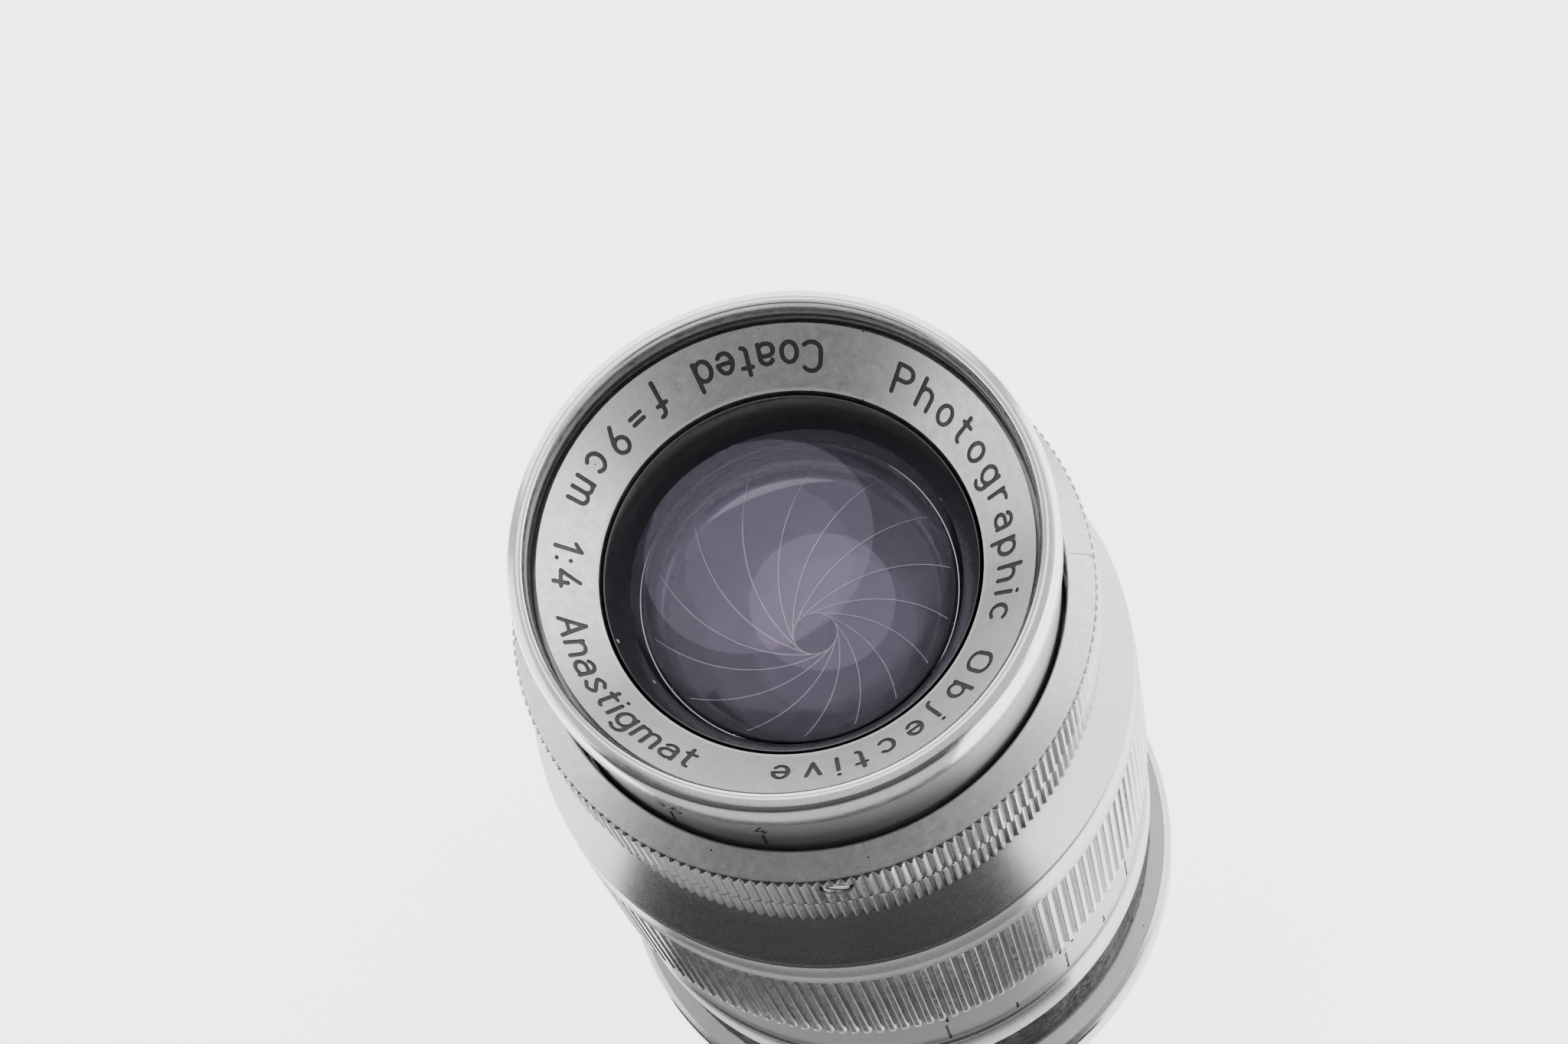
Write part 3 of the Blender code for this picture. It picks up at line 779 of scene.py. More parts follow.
# ================================================================ barrel with the aperture scale
def scale_barrel():
    n = 1080
    a = np.arange(n) * TAU / n
    ref = 20.4
    strokes, ticks = [], []
    for az, text in APERTURES:
        for turn in (0, 180):
            u = math.radians(az + turn) * ref
            ticks.append([(u, 79.75), (u, 81.85)])
            st, w = word(text, 1.5, gap=0.22)
            strokes += [[(u - w / 2 + x, 82.45 + y) for x, y in s] for s in st]
    rows = merged(frange(79.45, 82.25, 0.2), frange(82.25, 84.25, 0.085), frange(84.25, 86.0, 0.35))
    uu, vv = np.meshgrid(a * ref, rows)
    field = np.minimum(stroke_field(uu, vv, TAU * ref, strokes, 0.115),
                       stroke_field(uu, vv, TAU * ref, ticks, 0.135))

    def surface(ang, v, d):
        return ((ref - d) * math.cos(ang), (ref - d) * math.sin(ang), v)

    band = engraved_band(a, rows, surface, field, 0.06)
    # the lower half of this node, with its slots, is a piece of its own
    rest = fillet([(ref, 86.0), (ref, 86.2), (18.75, 86.2), (18.75, 79.42), (ref, 79.42),
                   (ref, 79.45)], 0.05, 2, closed=False)
    me = joined_ring("aperture_scale_band", a, band, rows_of(rest[1:-1]))
    finish_object(me, "aperture_scale_band", [SATIN, INK], HEAD, "satin_chrome",
                  ["aperture_scale_barrel"], 34)
    low = lathe_mesh("head_tube_low", fillet(
        [(17.6, 52.0), (18.6, 52.0), (18.6, 65.95), (20.4, 65.95), (20.4, 79.41), (18.75, 79.41),
         (18.75, 64.0), (17.6, 64.0)], 0.08, 2), 240)
    outward(low)
    half = math.degrees(1.45 / 19.5)
    tool = bmesh.new()
    for i in range(2):
        a0 = -103.9 + 180 * i - half
        a1 = a0 + 77.4 + 2 * half
        steps = 40
        grid = []
        for k in range(steps + 1):
            g = math.radians(a0 + (a1 - a0) * k / steps)
            grid.append([tool.verts.new((r * MM * math.cos(g), r * MM * math.sin(g), z * MM))
                         for r, z in ((17.9, 74.45), (21.2, 74.45), (21.2, 76.95), (17.9, 76.95))])
        for p, q in zip(grid[:-1], grid[1:]):
            for k in range(4):
                m = (k + 1) % 4
                tool.faces.new((p[k], p[m], q[m], q[k]))
        tool.faces.new(grid[0][::-1])
        tool.faces.new(grid[-1])
    low = cut_with(low, [tool], "head_tube_low")
    outward(low)
    low.name = "head_tube_slotted"
    finish_object(low, "head_tube_slotted", [SATIN], HEAD, "satin_chrome", [], 34)


scale_barrel()


def radial(azimuth, z, r):
    return (Matrix.Rotation(math.radians(azimuth), 4, "Z")
            @ Matrix.Translation((r * MM, 0, z * MM)) @ Matrix.Rotation(math.radians(90), 4, "Y"))


def rod(radius, length, steps, matrix):
    bm = bmesh.new()
    bmesh.ops.create_cone(bm, cap_ends=True, segments=steps, radius1=radius * MM,
                          radius2=radius * MM, depth=length * MM)
    bm.transform(matrix)
    return bm


# ================================================================ aperture ring
def aperture_ring():
    teeth, tip, depth = 168, 23.2, 0.30
    a, g = tooth_angles(teeth, V_TEETH, -14.0)
    order = np.argsort(a % TAU)
    a, g = (a % TAU)[order], g[order]
    r0, z0, r1, z1 = 20.95, 79.3, 22.88, 78.02
    length = math.hypot(r1 - r0, z1 - z0)
    cr, cz = (r1 - r0) / length, (z1 - z0) / length
    ref = 22.0
    marks = [[(math.radians(az) * ref, 0.22), (math.radians(az) * ref, length - 0.16)]
             for az in (-14.0, 166.0)]
    rows = merged(frange(0, length, 0.13))
    uu, vv = np.meshgrid(a * ref, rows)
    field = stroke_field(uu, vv, TAU * ref, marks, 0.16)

    def surface(ang, v, d):
        r = r0 + cr * v + cz * d
        z = z0 + cz * v - cr * d
        return (r * math.cos(ang), r * math.sin(ang), z)

    band = engraved_band(a, rows, surface, field, 0.06)
    rest = ([(22.91, 77.99), (22.95, 77.95), (23.0, 77.9), (23.06, 77.83), (23.12, 77.76),
             (23.17, 77.69), (23.19, 77.62), (tip, 77.52)]
            + [(tip, z) for z in frange(77.0, 72.9, 0.6)]
            + [(tip, 72.5), (23.17, 72.38), (23.1, 72.26), (23.0, 72.16), (22.9, 72.08), (22.8, 72.02),
               (22.7, 72.0), (20.84, 72.0), (20.78, 72.06), (20.78, 79.14), (20.84, 79.25)])
    me = joined_ring("aperture_ring_knurled", a, band,
                     rows_of(rest, lambda r, z, an: np.minimum(float(r), tip - depth * g)
                             if r > 22.0 else np.full(an.shape, float(r))))
    tools = [rod(1.35, 6.0, 40, radial(-103.9 + 180 * i, 75.7, 22.0)) for i in range(2)]
    me = cut_with(me, tools, "aperture_ring_cut")
    for p in me.polygons:
        p.material_index = min(p.material_index, 1)
    outward(me)
    return me


def face_materials(me, rule, count):
    """Material index of each face from its centre in mm; faces already inked stay inked."""
    n = len(me.polygons)
    c = np.empty(n * 3)
    me.polygons.foreach_get("center", c)
    c = c.reshape(-1, 3) / MM
    idx = np.empty(n, dtype=np.int32)
    me.polygons.foreach_get("material_index", idx)
    r = np.hypot(c[:, 0], c[:, 1])
    new = rule(r, c[:, 2], idx)
    me.polygons.foreach_set("material_index", new.astype(np.int32))


me = aperture_ring()
# faces at the knurl's groove roots (r < 23.03) take the darker groove material: painted shade
face_materials(me, lambda r, z, i: np.where(i == 1, 1, np.where(
    (z < 78.0) & (r > 22.6), np.where(r < 23.03, 3, 2), 0)), 4)
finish_object(me, "aperture_ring_knurled", [SATIN_FACE, INK, KNURL, GROOVE_SHADE], CONTROL, "satin_chrome",
              ["aperture_ring"], 30)


# ================================================================ grip ring
def plain_toothed(name, teeth, table, phase, prof, tip, depth, mats, body, node, angle=30,
                  z0=-1e9, z1=1e9):
    a, g = tooth_angles(teeth, table, phase)
    order = np.argsort(a % TAU)
    a, g = (a % TAU)[order], g[order]
    n = len(a)
    rows = rows_of(prof, grooved(tip, depth, g, z0, z1))(a)
    faces = []
    m = len(rows)
    for j in range(m):
        k = (j + 1) % m
        for i in range(n):
            q = (i + 1) % n
            faces.append((j * n + i, j * n + q, k * n + q, k * n + i))
    me = mesh_from(name, rows.reshape(-1, 3) * MM, faces)
    outward(me)
    # faces near the groove roots take the second material, here the darker groove one: painted shade
    face_materials(me, lambda r, z, i: np.where((r > tip - 1.2 * depth) & (r < tip - 0.55 * depth)
                                                & (len(mats) > 1), 1, 0), 2)
    return finish_object(me, name, mats, body, "satin_chrome", [node], angle)


plain_toothed(
    "grip_ring_knurled", 166, V_TEETH, 1.1,
    [(20.75, 66.0), (20.8, 65.95), (22.3, 65.95), (22.42, 65.97), (22.5, 66.03), (22.6, 66.12),
     (22.68, 66.2), (22.73, 66.32), (22.75, 66.5)] + [(22.75, z) for z in frange(67.0, 70.4, 0.6)]
    + [(22.75, 70.9), (22.73, 71.08), (22.68, 71.2), (22.6, 71.28), (22.5, 71.37), (22.42, 71.43),
       (22.3, 71.45), (20.8, 71.45), (20.75, 71.4)],
    22.75, 0.28, [KNURL, GROOVE_SHADE], HEAD, "head_grip_ring")

# ================================================================ smooth cone
turned("head_cone_turned",
       [(18.95, 60.75, 0.05), (25.0, 60.75, 0.05), (25.06, 60.86, 0.08), (24.55, 61.75, 2.0),
        (23.9, 62.9, 3.0), (23.0, 64.5, 3.0), (22.3, 65.62, 0.12), (18.95, 65.6, 0.05)],
       SMOOTH, HEAD, "satin_chrome", ["head_cone"], 512, radius=0.08, angle=40)


# ================================================================ focusing ring
def distance_angle(metres):
    d = metres * 1000.0 - 180.0
    x = (d - math.sqrt(d * d - 4 * 8100.0)) / 2
    return math.degrees(x * MM / 0.0022036)


def focus_ring():
    teeth, tip, depth = 144, 25.3, 0.32
    table = ((0.00, 0.12), (0.05, 0.0), (0.22, 0.0), (0.41, 0.0), (0.46, 0.12), (0.62, 1.0),
             (0.75, 1.0), (0.88, 1.0))
    a, g = tooth_angles(teeth, table, 0.4)
    order = np.argsort(a % TAU)
    a, g = (a % TAU)[order], g[order]
    ref = 24.55
    strokes, ticks = [], []
    for d in (1.0, 1.05, 1.1, 1.15, 1.2, 1.3, 1.4, 1.5, 1.75, 2.0, 2.5, 3.0, 4.0, 5.0, 7.0, 10.0,
              20.0):
        u = math.radians(166.0 - distance_angle(d)) * ref
        label = {1.05: "", 1.15: "", 1.4: "", 7.0: "7", 20.0: "20"}.get(d, ("%g" % d))
        ticks.append([(u, 28.2), (u, 33.0 if label else 30.0)])
        if label:
            st, w = word(label, 2.1, gap=0.24)
            strokes += [[(u - w / 2 + x, 34.2 + y) for x, y in s] for s in st]
    u = math.radians(166.0) * ref
    ticks.append([(u, 28.2), (u, 33.0)])
    st, w = word("%", 2.6, gap=0.24)
    strokes += [[(u - w / 2 + x, 34.1 + y) for x, y in s] for s in st]
    rows = merged(frange(27.62, 33.6, 0.6), frange(33.6, 36.9, 0.13), frange(36.9, 37.48, 0.29))
    uu, vv = np.meshgrid(a * ref, rows)
    field = np.minimum(stroke_field(uu, vv, TAU * ref, strokes, 0.15),
                       stroke_field(uu, vv, TAU * ref, ticks, 0.13))

    def surface(ang, v, d):
        return ((ref - d) * math.cos(ang), (ref - d) * math.sin(ang), v)

    band = engraved_band(a, rows, surface, field, 0.07)
    rest = ([(24.57, 37.51), (24.8, 37.66), (24.97, 37.78), (25.08, 37.86), (25.2, 37.95),
             (25.28, 38.05), (25.3, 38.2)]
            + [(25.3, z) for z in frange(39.0, 55.0, 2.0)]
            + [(25.3, 55.7), (25.29, 55.94), (25.27, 55.955), (25.22, 56.2), (25.15, 56.4)]
            + [(25.15, z) for z in (57.5, 58.8, 60.1)]
            + [(25.13, 60.28), (25.07, 60.39), (24.98, 60.45), (21.65, 60.45), (21.6, 60.4),
               (21.6, 57.45), (21.65, 57.4), (23.25, 57.4), (23.3, 57.35), (23.3, 40.0), (23.3, 21.25),
               (23.35, 21.2), (24.35, 21.2), (24.45, 21.22), (24.52, 21.3), (24.8, 21.72),
               (24.84, 21.82), (24.85, 21.95), (24.85, 24.5), (24.85, 27.1), (24.83, 27.25),
               (24.78, 27.36), (24.6, 27.54), (24.56, 27.58)])
    rule = grooved(tip, depth, g, 37.0, 55.95)
    me = joined_ring("focus_ring_ribbed", a, band, rows_of(rest, rule))
    # rib groove roots (r < 25.06) take the darker groove material: painted shade
    face_materials(me, lambda r, z, i: np.where(
        i == 1, 1, np.where((z > 37.7) & (z < 56.0) & (r > 24.0), np.where(r < 25.06, 4, 2),
                            np.where((z > 56.0) | (z < 27.5), 3, 0))), 5)
    finish_object(me, "focus_ring_ribbed", [SATIN, INK, KNURL, SMOOTH, GROOVE_SHADE], HEAD, "satin_chrome",
                  ["focus_ring"], 30)


focus_ring()


# ================================================================ fixed mount
def screw_mount():
    n = 288
    a = np.arange(n) * TAU / n
    pitch = 25.4 / 26
    rows = []

    def row(r, z):
        rr = np.broadcast_to(r, a.shape)
        rows.append(np.stack([rr * np.cos(a), rr * np.sin(a), np.full(n, z)], 1))

    for r, z in ((18.32, 0.12), (18.36, 0.04), (18.45, 0.0), (18.88, 0.0), (18.90, 0.02)):
        row(r, z)
    for z in frange(0.06, 5.66, 0.07):
        env = min(1.0, max(0.0, (5.62 - z) / 0.35))
        r = 18.9 + 0.6 * env * tri(z / pitch - a / TAU)
        row(np.minimum(r, 18.9 + max(z - 0.04, 0) * 1.1), z)
    for r, z in ((18.9, 5.72), (19.44, 5.86), (19.5, 5.94), (19.5, 8.7), (21.34, 8.7), (21.4, 8.76),
                 (21.4, 10.34), (21.34, 10.4), (18.36, 10.4), (18.3, 10.34), (18.3, 5.0),
                 (18.3, 0.2)):
        row(r, z)
    rows_a = np.array(rows)
    m = len(rows_a)
    faces = []
    for j in range(m):
        k = (j + 1) % m
        for i in range(n):
            q = (i + 1) % n
            faces.append((j * n + i, j * n + q, k * n + q, k * n + i))
    me = mesh_from("screw_mount_threaded", rows_a.reshape(-1, 3) * MM, faces)
    outward(me)
    finish_object(me, "screw_mount_threaded", [BRIGHT], MOUNT, "polished_chrome", ["screw_mount"],
                  34)


screw_mount()


def mount_flange():
    n = 720
    a = np.arange(n) * TAU / n
    # top face, from its inner edge outward, carries the index line
    ref = 23.8
    r0, z0, r1, z1 = 21.9, 10.8, 24.2, 10.75
    rows = merged(frange(21.95, 24.15, 0.2))
    line = [[(math.radians(166.0) * ref, 22.15), (math.radians(166.0) * ref, 23.95)]]
    uu, vv = np.meshgrid(a * ref, rows)
    field = stroke_field(uu, vv, TAU * ref, line, 0.16)

    def surface(ang, v, d):
        z = z0 + (z1 - z0) * (v - r0) / (r1 - r0)
        return (v * math.cos(ang), v * math.sin(ang), z - d)

    band = engraved_band(a, rows, surface, field, 0.06)
    edge = fillet([(24.1, 10.76), (24.3, 10.74, 0.5), (25.75, 10.4, 0.6), (26.15, 10.05, 0.4),
                   (26.3, 9.6, 0.3), (26.3, 6.5, 0.15), (25.9, 6.0, 0.15), (19.9, 6.0, 0.05),
                   (19.85, 6.1, 0), (19.85, 8.4, 0.05), (21.8, 8.4, 0.05), (21.8, 10.8, 0.05),
                   (21.95, 10.8)], 0.06, 4, closed=False, limit=6)
    me = joined_ring("mount_flange_turned", a, band, rows_of(edge[1:-1]))
    tools = []
    for i in range(4):
        m = (Matrix.Rotation(math.radians(45 + 90 * i), 4, "Z")
             @ Matrix.Translation((23.4 * MM, 0, 4.5 * MM)))
        tools.append(rod(0.9, 8.0, 32, m))
        tools.append(rod(1.55, 6.0, 40, m))
    me = cut_with(me, tools, "mount_flange_cut")
    outward(me)
    face_materials(me, lambda r, z, i: np.where(i == 1, 1, np.where(
        ((r > 25.2) & (z > 9.0)) | (r > 26.2), 2, 0)), 3)
    finish_object(me, "mount_flange_turned", [SATIN, INK, SMOOTH], MOUNT, "satin_chrome",
                  ["mount_flange"], 34)


mount_flange()

turned("mount_barrel_turned",
       [(21.5, 11.1), (23.6, 11.1), (23.6, 20.7), (22.9, 20.9), (22.9, 50.0), (22.7, 50.3),
        (21.5, 50.3)], NICKEL, MOUNT, "satin_chrome", ["mount_barrel"], 256)


def covering():
    """A grained strip with a ragged rear edge, worn through in places."""
    n, rows_n = 720, 60
    a = np.arange(n) * TAU / n
    rng = np.random.default_rng(11)

    def wave(octaves, seed):
        r = np.random.default_rng(seed)
        w = np.zeros(n)
        for k, amp in octaves:
            for _ in range(3):
                w += amp * np.sin(int(k * r.uniform(0.7, 1.3)) * a + r.uniform(0, TAU)) / 1.7
        return w

    edge = 12.05 + wave(((7, 0.22), (23, 0.26), (61, 0.20), (140, 0.12)), 5)
    edge = np.clip(edge, 11.2, 13.3)
    lumps = rng.standard_normal((rows_n, n))
    for _ in range(1):
        lumps = (lumps + np.roll(lumps, 1, 1) + np.roll(lumps, 1, 0) + np.roll(lumps, -1, 1)) / 2.6
    rows = []
    for j in range(rows_n):
        t = j / (rows_n - 1)
        z = edge + (20.68 - edge) * t
        soft = min(1.0, t * 9) ** 0.5 * min(1.0, (1 - t) * 14) ** 0.5
        r = 24.22 + 0.18 * soft + np.clip(lumps[j], -2, 2) * 0.055 * soft
        r = np.minimum(r, 24.55)
        rows.append(np.stack([r * np.cos(a), r * np.sin(a), z], 1))
    inner = []
    for t in (1.0, 0.5, 0.0):
        z = edge + (20.68 - edge) * t
        inner.append(np.stack([23.9 * np.cos(a), 23.9 * np.sin(a), z], 1))
    rows = np.concatenate([np.array(rows), np.array(inner)])
    faces = []
    m = len(rows)
    for j in range(m):
        k = (j + 1) % m
        for i in range(n):
            q = (i + 1) % n
            faces.append((j * n + i, j * n + q, k * n + q, k * n + i))
    me = mesh_from("covering_grained", rows.reshape(-1, 3) * MM, faces)
    outward(me)
    finish_object(me, "covering_grained", [COVERING], MOUNT, "black_covering",
                  ["barrel_covering"], 60)


covering()

turned("rangefinder_tube_turned",
       [(16.9, 1.6), (17.3, 1.2), (17.8, 1.2), (17.95, 1.4), (17.95, 29.7), (17.6, 30.0),
        (16.9, 30.0)], BRASS, "rangefinder_follower", "turned_brass", ["rangefinder_tube"], 240)

# ================================================================ guide sleeve, helicoid
low = lathe_mesh("sleeve", fillet([(18.4, 12.0), (19.25, 12.0), (19.25, 44.6), (19.85, 44.6),
                                   (19.85, 46.0), (18.4, 46.0)], 0.06, 2), 240)
outward(low)
slots = bmesh.new()
for i in range(2):
    bm = bmesh.new()
    bmesh.ops.create_cube(bm, size=1.0)
    bm.transform(Matrix.Rotation(math.radians(180 * i), 4, "Z")
                 @ Matrix.Translation((19.0 * MM, 0, 23.5 * MM))
                 @ Matrix.Diagonal((3.0 * MM, 3.6 * MM, 27.0 * MM, 1)))
    tmp = bpy.data.meshes.new("slot_tmp")
    bm.to_mesh(tmp)
    bm.free()
    slots.from_mesh(tmp)
    bpy.data.meshes.remove(tmp)
low = cut_with(low, [slots], "sleeve_cut")
outward(low)
low.name = "guide_sleeve_slotted"
finish_object(low, "guide_sleeve_slotted", [BRASS], GUIDE, "turned_brass", ["guide_sleeve"], 34)


def helicoid():
    n = 288
    a = np.arange(n) * TAU / n
    rows = []

    def row(r, z):
        rr = np.broadcast_to(r, a.shape)
        rows.append(np.stack([rr * np.cos(a), rr * np.sin(a), np.full(n, z)], 1))

    row(20.25, 24.0)
    row(21.0, 24.0)
    for z in frange(24.15, 60.2, 0.18):
        env = min(1.0, (z - 24.1) / 0.3) * min(1.0, (60.3 - z) / 0.3)
        row(21.2 - 0.35 * env * (1 - tri(8 * (z / 13.846 - a / TAU))), z)
    for r, z in ((21.1, 60.4), (19.0, 60.4), (18.95, 60.34), (18.95, 46.36), (19.0, 46.3),
                 (20.15, 46.3), (20.2, 46.25), (20.2, 24.06)):
        row(r, z)
    rows_a = np.array(rows)
    m = len(rows_a)
    faces = []
    for j in range(m):
        k = (j + 1) % m
        for i in range(n):
            q = (i + 1) % n
            faces.append((j * n + i, j * n + q, k * n + q, k * n + i))
    me = mesh_from("helicoid_threaded", rows_a.reshape(-1, 3) * MM, faces)
    outward(me)
    finish_object(me, "helicoid_threaded", [BRASS], HEAD, "turned_brass", ["helicoid_tube"], 34)


helicoid()
turned("sleeve_retaining_turned", [(19.55, 42.6), (19.9, 42.6), (19.9, 44.3), (19.55, 44.3)],
       BRASS, HEAD, "turned_brass",
       ["sleeve_retaining_ring"], 200, radius=0.03)

# ================================================================ cells and inner rings
turned("front_retaining_turned",
       [(13.0, 81.3), (14.45, 84.3, 0.05), (14.55, 84.35, 0.03), (14.55, 82.6), (16.2, 82.2),
        (16.2, 81.15), (13.35, 81.15)], LACQUER, HEAD, "black_lacquer", ["front_retaining_ring"],
       384, radius=0.03)
turned("front_cell_turned",
       [(13.75, 80.85), (13.75, 79.3), (12.95, 79.3), (11.9, 78.75), (11.9, 72.95), (11.15, 72.95),
        (11.15, 72.65), (12.45, 72.65), (12.45, 77.8), (18.4, 77.8), (18.4, 80.85)], MATT, HEAD,
       "matt_black",
       ["front_cell"], 256, radius=0.05)
turned("element_spacer_turned", [(11.45, 78.78), (11.8, 78.78), (11.8, 79.25), (11.45, 79.25)],
       MATT, HEAD, "matt_black", ["element_spacer"], 240, radius=0.04)
turned("iris_base_turned", [(11.2, 67.5), (18.4, 67.5), (18.4, 68.3), (11.2, 68.3)], MATT, HEAD,
       "matt_black", ["iris_base_plate"], 256, radius=0.05)
turned("iris_cam_turned", [(12.6, 72.75), (18.35, 72.75), (18.35, 77.5), (12.6, 77.5)], MATT,
       CONTROL, "matt_black", ["iris_cam_ring"], 256, radius=0.06)
turned("rear_cell_turned",
       [(18.3, 67.2), (10.2, 67.2), (10.2, 66.2), (10.75, 66.2), (10.75, 58.7), (12.2, 58.7),
        (12.2, 65.7), (17.0, 65.7), (17.0, 64.35), (18.3, 64.35)], MATT, HEAD, "matt_black",
       ["rear_cell"], 256, radius=0.06)
turned("rear_retaining_turned", [(9.4, 58.9), (10.4, 58.9), (10.4, 60.6), (9.4, 60.6)], MATT, HEAD,
       "matt_black", ["rear_retaining_ring"], 240, radius=0.08)
turned("rear_baffle_turned",
       [(17.25, 58.4), (17.25, 52.3), (16.7, 52.3), (16.7, 57.0), (13.0, 57.9), (13.0, 58.4)],
       MATT, HEAD, "matt_black", ["rear_baffle"], 256, radius=0.08)


# ================================================================ glass
def arc_face(radius, z, curve, rows):
    out = []
    for i in range(rows + 1):
        r = radius * i / rows
        if curve == 0:
            out.append((r, z))
        else:
            sag = abs(curve) - math.sqrt(curve * curve - r * r)
            out.append((r, z - math.copysign(sag, curve)))
    return out


def element(name, radius, fz, fc, bz, bc, mat, node, rows=22):
    prof = arc_face(radius, fz, fc, rows) + list(reversed(arc_face(radius, bz, bc, rows if bc else 1)))
    me = lathe_mesh(name, prof, 192, closed=False)
    outward(me)
    finish_object(me, name, [mat], HEAD, "coated_glass", [node], 30)


element("front_element_ground", 13.4, 84.4, 26.0, 79.6, 0, GLASS_FRONT, "front_element")
element("middle_element_ground", 11.8, 77.5, -60.0, 75.9, 30.0, GLASS_INNER, "middle_element")
element("rear_inner_ground", 10.4, 65.8, 0, 64.4, 22.0, GLASS_REAR, "rear_inner_element")
element("rear_outer_ground", 10.4, 64.3, 22.0, 59.8, -36.0, GLASS_REAR, "rear_outer_element")


# ================================================================ iris blades
def blade_width(psi):
    knots = ((-4, 2.6), (0, 3.2), (20, 3.5), (45, 2.9), (60, 1.8), (75, 1.1), (88, 0.5))
    for (a, u), (b, v) in zip(knots, knots[1:]):
        if psi <= b:
            return u + (v - u) * (psi - a) / (b - a)
    return knots[-1][1]


def blade(index):
    az = 4.0 + index * 24.0
    pr, pz, edge_r = 13.6, 72.3, 10.9
    pivot = Vector((pr * math.cos(math.radians(az)), pr * math.sin(math.radians(az))))
    turn = Matrix.Rotation(math.radians(40.0), 2)
    slope = math.radians(138.0 + az + 40.0)
    lean = Vector((0.15 * math.cos(slope), 0.15 * math.sin(slope)))
    steps = 72
    shares = (0.0, 0.07, 0.35, 0.7, 1.0)     # across the blade; the first strip is the bare edge
    verts = []
    for lift in (0.0, 0.02):
        for k in range(steps + 1):
            p = -4.0 + 92.0 * k / steps
            w = blade_width(p)
            for s_i, s in enumerate(shares):
                r = edge_r + (min(0.042, w * 0.4) if s_i == 1 else w * s)
                g = math.radians(az + p)
                out = Vector((r * math.cos(g), r * math.sin(g))) - pivot
                xy = turn @ out
                verts.append(((xy.x + pivot.x) * MM, (xy.y + pivot.y) * MM,
                              (pz - lean.dot(xy) + lift) * MM))
    m = len(shares)
    half = (steps + 1) * m
    faces, mats = [], []
    for k in range(steps):
        for s_i in range(m - 1):
            q = [k * m + s_i, k * m + s_i + 1, (k + 1) * m + s_i + 1, (k + 1) * m + s_i]
            faces.append([half + v for v in q])
            mats.append(1 if s_i == 0 else 0)
            faces.append(q[::-1])
            mats.append(0)
        a0, a1 = k * m, (k + 1) * m
        faces.append([a0, a1, half + a1, half + a0])
        mats.append(1)
        b0, b1 = k * m + m - 1, (k + 1) * m + m - 1
        faces.append([b1, b0, half + b0, half + b1])
        mats.append(0)
    for k in (0, steps):
        for s_i in range(m - 1):
            q = [k * m + s_i, k * m + s_i + 1, half + k * m + s_i + 1, half + k * m + s_i]
            faces.append(q if k == 0 else q[::-1])
            mats.append(0)
    name = "blade_%02d_fine" % (index + 1)
    me = mesh_from(name, verts, faces, mats)
    outward(me)
    finish_object(me, name, [BLADE, BLADE_EDGE], "blade_%02d" % (index + 1), "blade_steel",
                  ["iris_blade_%02d" % (index + 1)], 30)


for i in range(15):
    blade(i)


# ================================================================ screws
def screw(name, matrix, head_r, head_h, shank_r, shank_l, slot_w, slot_d, node, body, spin):
    prof = fillet([(0, 0), (shank_r, 0, 0.08), (shank_r, shank_l, 0), (head_r, shank_l, 0.05),
                   (head_r, shank_l + head_h - 0.05, 0.22), (head_r * 0.55, shank_l + head_h - 0.01, 0.3),
                   (0, shank_l + head_h)], 0.05, 4, closed=False, limit=5)
    me = lathe_mesh(name, prof, 72, closed=False)
    outward(me)
    tool = bmesh.new()
    bmesh.ops.create_cube(tool, size=1.0)
    tool.transform(Matrix.Rotation(math.radians(spin), 4, "Z")
                   @ Matrix.Translation((0, 0, (shank_l + head_h) * MM))
                   @ Matrix.Diagonal((4 * head_r * MM, slot_w * MM, 2 * slot_d * MM, 1)))
    me = cut_with(me, [tool], name + "_cut")
    me.transform(matrix)
    outward(me)
    me.name = name
    finish_object(me, name, [BRIGHT], body, "polished_chrome", [node], 30)


for i in range(2):
    screw("set_screw_%d_slotted" % (i + 1), radial(-103.9 + 180 * i, 75.7, 18.65), 1.05, 2.1, 0.9,
          2.3, 0.30, 0.42, "aperture_set_screw_%d" % (i + 1), CONTROL, 52)
for i in range(4):
    m = (Matrix.Rotation(math.radians(45 + 90 * i), 4, "Z")
         @ Matrix.Translation((23.4 * MM, 0, 10.5 * MM)) @ Matrix.Rotation(math.radians(180), 4, "X"))
    screw("flange_screw_%d_slotted" % (i + 1), m, 1.3, 1.1, 0.62, 3.25, 0.32, 0.4,
          "flange_screw_%d" % (i + 1), MOUNT, 20 + 37 * i)

# ================================================================ CAD nodes that stay
FINISH = {"satin_chrome": SATIN, "polished_chrome": BRIGHT, "turned_brass": BRASS,
          "black_lacquer": LACQUER, "matt_black": MATT, "black_covering": COVERING,
          "blade_steel": BLADE, "coated_glass": GLASS_INNER}
for part in frame["record"]["subparts"]:
    ob = frame["nodes"].get(part["node"]) if isinstance(frame["nodes"], dict) else None
    if ob is None:
        ob = bpy.data.objects.get(part["node"])
    if ob is not None and ob.type == "MESH":
        for s in ob.material_slots:
            s.material = FINISH[part["material_slot"]]

# ================================================================ floor, light, camera
floor_mat, nt, p = node_material("pale_floor")
n = noise(nt, coords(nt), 30, 3)
nt.links.new(mix_col(nt, to_range(nt, n, 0, 1, 0.3, 0.7), (0.90, 0.90, 0.905), (0.93, 0.93, 0.93)),
             p.inputs["Base Color"])
p.inputs["Roughness"].default_value = 0.85
p.inputs["Emission Color"].default_value = (1.0, 1.0, 1.0, 1)
p.inputs["Emission Strength"].default_value = 2.7
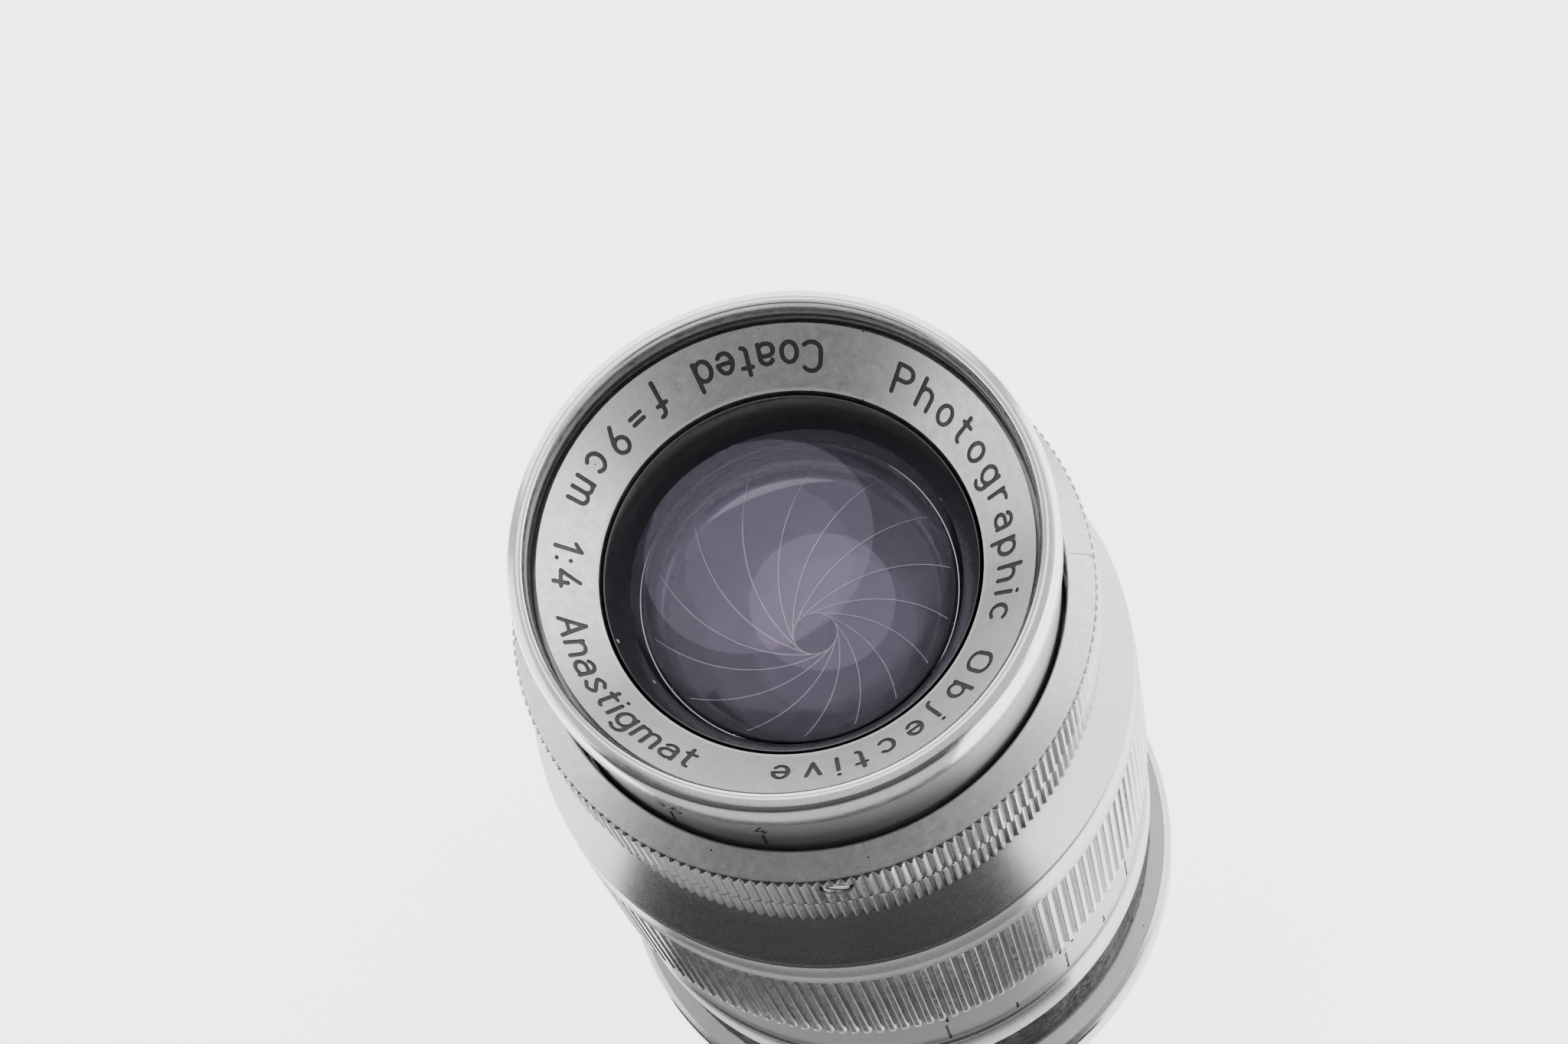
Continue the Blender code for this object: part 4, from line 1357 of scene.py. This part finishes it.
# the floor disc under the lens: a darker grey without the floor's glow, painted shade where the lens stands
floor_shade_mat, nt, p = node_material("floor_under_lens_painted_shade")
nt.links.new(mix_col(nt, to_range(nt, noise(nt, coords(nt), 30, 3), 0, 1, 0.3, 0.7),
                     (0.5, 0.5, 0.52), (0.6, 0.6, 0.62)), p.inputs["Base Color"])
p.inputs["Roughness"].default_value = 0.85
me = bpy.data.meshes.new("floor")
n = 128
verts = [(0, 0, 0)]
for r in (0.0187, 0.3, 4.0):
    verts += [(r * math.cos(TAU * k / n), r * math.sin(TAU * k / n), 0) for k in range(n)]
faces = [(0, 1 + k, 1 + (k + 1) % n) for k in range(n)]
for j in (0, 1):
    faces += [(1 + j * n + k, 1 + (j + 1) * n + k, 1 + (j + 1) * n + (k + 1) % n,
               1 + j * n + (k + 1) % n) for k in range(n)]
me.from_pydata(verts, [], faces)
me.materials.append(floor_mat)
me.materials.append(floor_shade_mat)
# the centre disc, under the lens, takes the painted-shade material
for k in range(n):
    me.polygons[k].material_index = 1
floor = bpy.data.objects.new("floor", me)
floor.location = (0, 0, -0.00002)
COLL.objects.link(floor)

# a dark flag beside the camera, outside every view: it gives the chrome its dark side
flag_mat, nt, p = node_material("studio_flag")
nt.links.new(mix_col(nt, to_range(nt, noise(nt, coords(nt), 40, 3), 0, 1, 0.3, 0.7),
                     (0.030, 0.026, 0.026), (0.050, 0.044, 0.044)), p.inputs["Base Color"])
p.inputs["Roughness"].default_value = 0.95
card_mat, nt, p = node_material("studio_card")
nt.links.new(mix_col(nt, to_range(nt, noise(nt, coords(nt), 40, 3), 0, 1, 0.3, 0.7),
                     (0.24, 0.235, 0.235), (0.28, 0.275, 0.275)), p.inputs["Base Color"])
p.inputs["Roughness"].default_value = 0.95
p.inputs["Emission Color"].default_value = (1.0, 1.0, 1.0, 1)
p.inputs["Emission Strength"].default_value = 0.50
me = bpy.data.meshes.new("studio_flag")
verts, faces, lighter = [], [], []
steps = 40
profile = ((0.030, 0.0012), (0.044, 0.0016), (0.085, 0.0024), (0.19, 0.004), (0.20, 0.012),
           (0.20, 0.30))
rows = len(profile)
for k in range(steps + 1):
    g = math.radians(-172 + 112 * k / steps)
    for rad, z in profile:
        verts.append((rad * math.cos(g), rad * math.sin(g), z))
for k in range(steps):
    for j in range(rows - 1):
        if j == 1:
            lighter.append(len(faces))
        faces.append((rows * k + j, rows * k + j + 1, rows * (k + 1) + j + 1, rows * (k + 1) + j))
me.from_pydata(verts, [], faces)
me.materials.append(flag_mat)
me.materials.append(card_mat)
for k in lighter:
    me.polygons[k].material_index = 1
flag = bpy.data.objects.new("studio_flag", me)
COLL.objects.link(flag)
flag.visible_camera = False
flag.visible_diffuse = False

world = bpy.data.worlds.new("studio")
bpy.context.scene.world = world
world.use_nodes = True
world.node_tree.nodes["Background"].inputs["Color"].default_value = (0.97, 0.98, 1.0, 1)
world.node_tree.nodes["Background"].inputs["Strength"].default_value = 0.95


def area(name, at, target, size, radiance, colour=(1, 1, 1), disk=False):
    li = bpy.data.lights.new(name, "AREA")
    li.shape = "DISK" if disk else "RECTANGLE"
    li.size, li.size_y = size
    surface = math.pi * size[0] ** 2 / 4 if disk else size[0] * size[1]
    li.energy = radiance * math.pi * surface
    li.color = colour
    ob = bpy.data.objects.new(name, li)
    ob.location = at
    ob.rotation_mode = "QUATERNION"
    ob.rotation_quaternion = (Vector(target) - Vector(at)).to_track_quat("-Z", "Y")
    COLL.objects.link(ob)
    ob.visible_camera = False
    ob.visible_transmission = disk      # only the round light shows through the glass
    return ob


area("back_soft", (0.1, 1.7, 0.62), (0, 0, 0.06), (2.6, 1.1), 2.8)
area("right_soft", (1.5, 0.0, 0.55), (0, 0, 0.06), (1.8, 1.0), 4.2)
area("left_soft", (-1.5, 0.4, 0.60), (0, 0, 0.06), (1.4, 1.0), 2.4)
area("top_disc", (0.15, 0.17, 1.38), (0, 0, 0.08), (1.25, 1.25), 1.75, disk=True)

cd = bpy.data.cameras.new("camera")
cd.sensor_fit = "HORIZONTAL"
cd.sensor_width = 36.0
cd.lens = 79.10
cd.clip_start, cd.clip_end = 0.01, 20.0
cam = bpy.data.objects.new("camera", cd)
COLL.objects.link(cam)
fwd = Vector((0.00333057, 0.39019817, -0.92072487))
right = Vector((0.93215781, -0.33455152, -0.13840919))
up = Vector((0.36203692, 0.8577999, 0.36484052))
cam.matrix_world = Matrix(((right.x, up.x, -fwd.x, 0.0), (right.y, up.y, -fwd.y, -0.0994771),
                           (right.z, up.z, -fwd.z, 0.3282805), (0, 0, 0, 1)))
bpy.context.scene.camera = cam

bpy.context.view_layer.update()
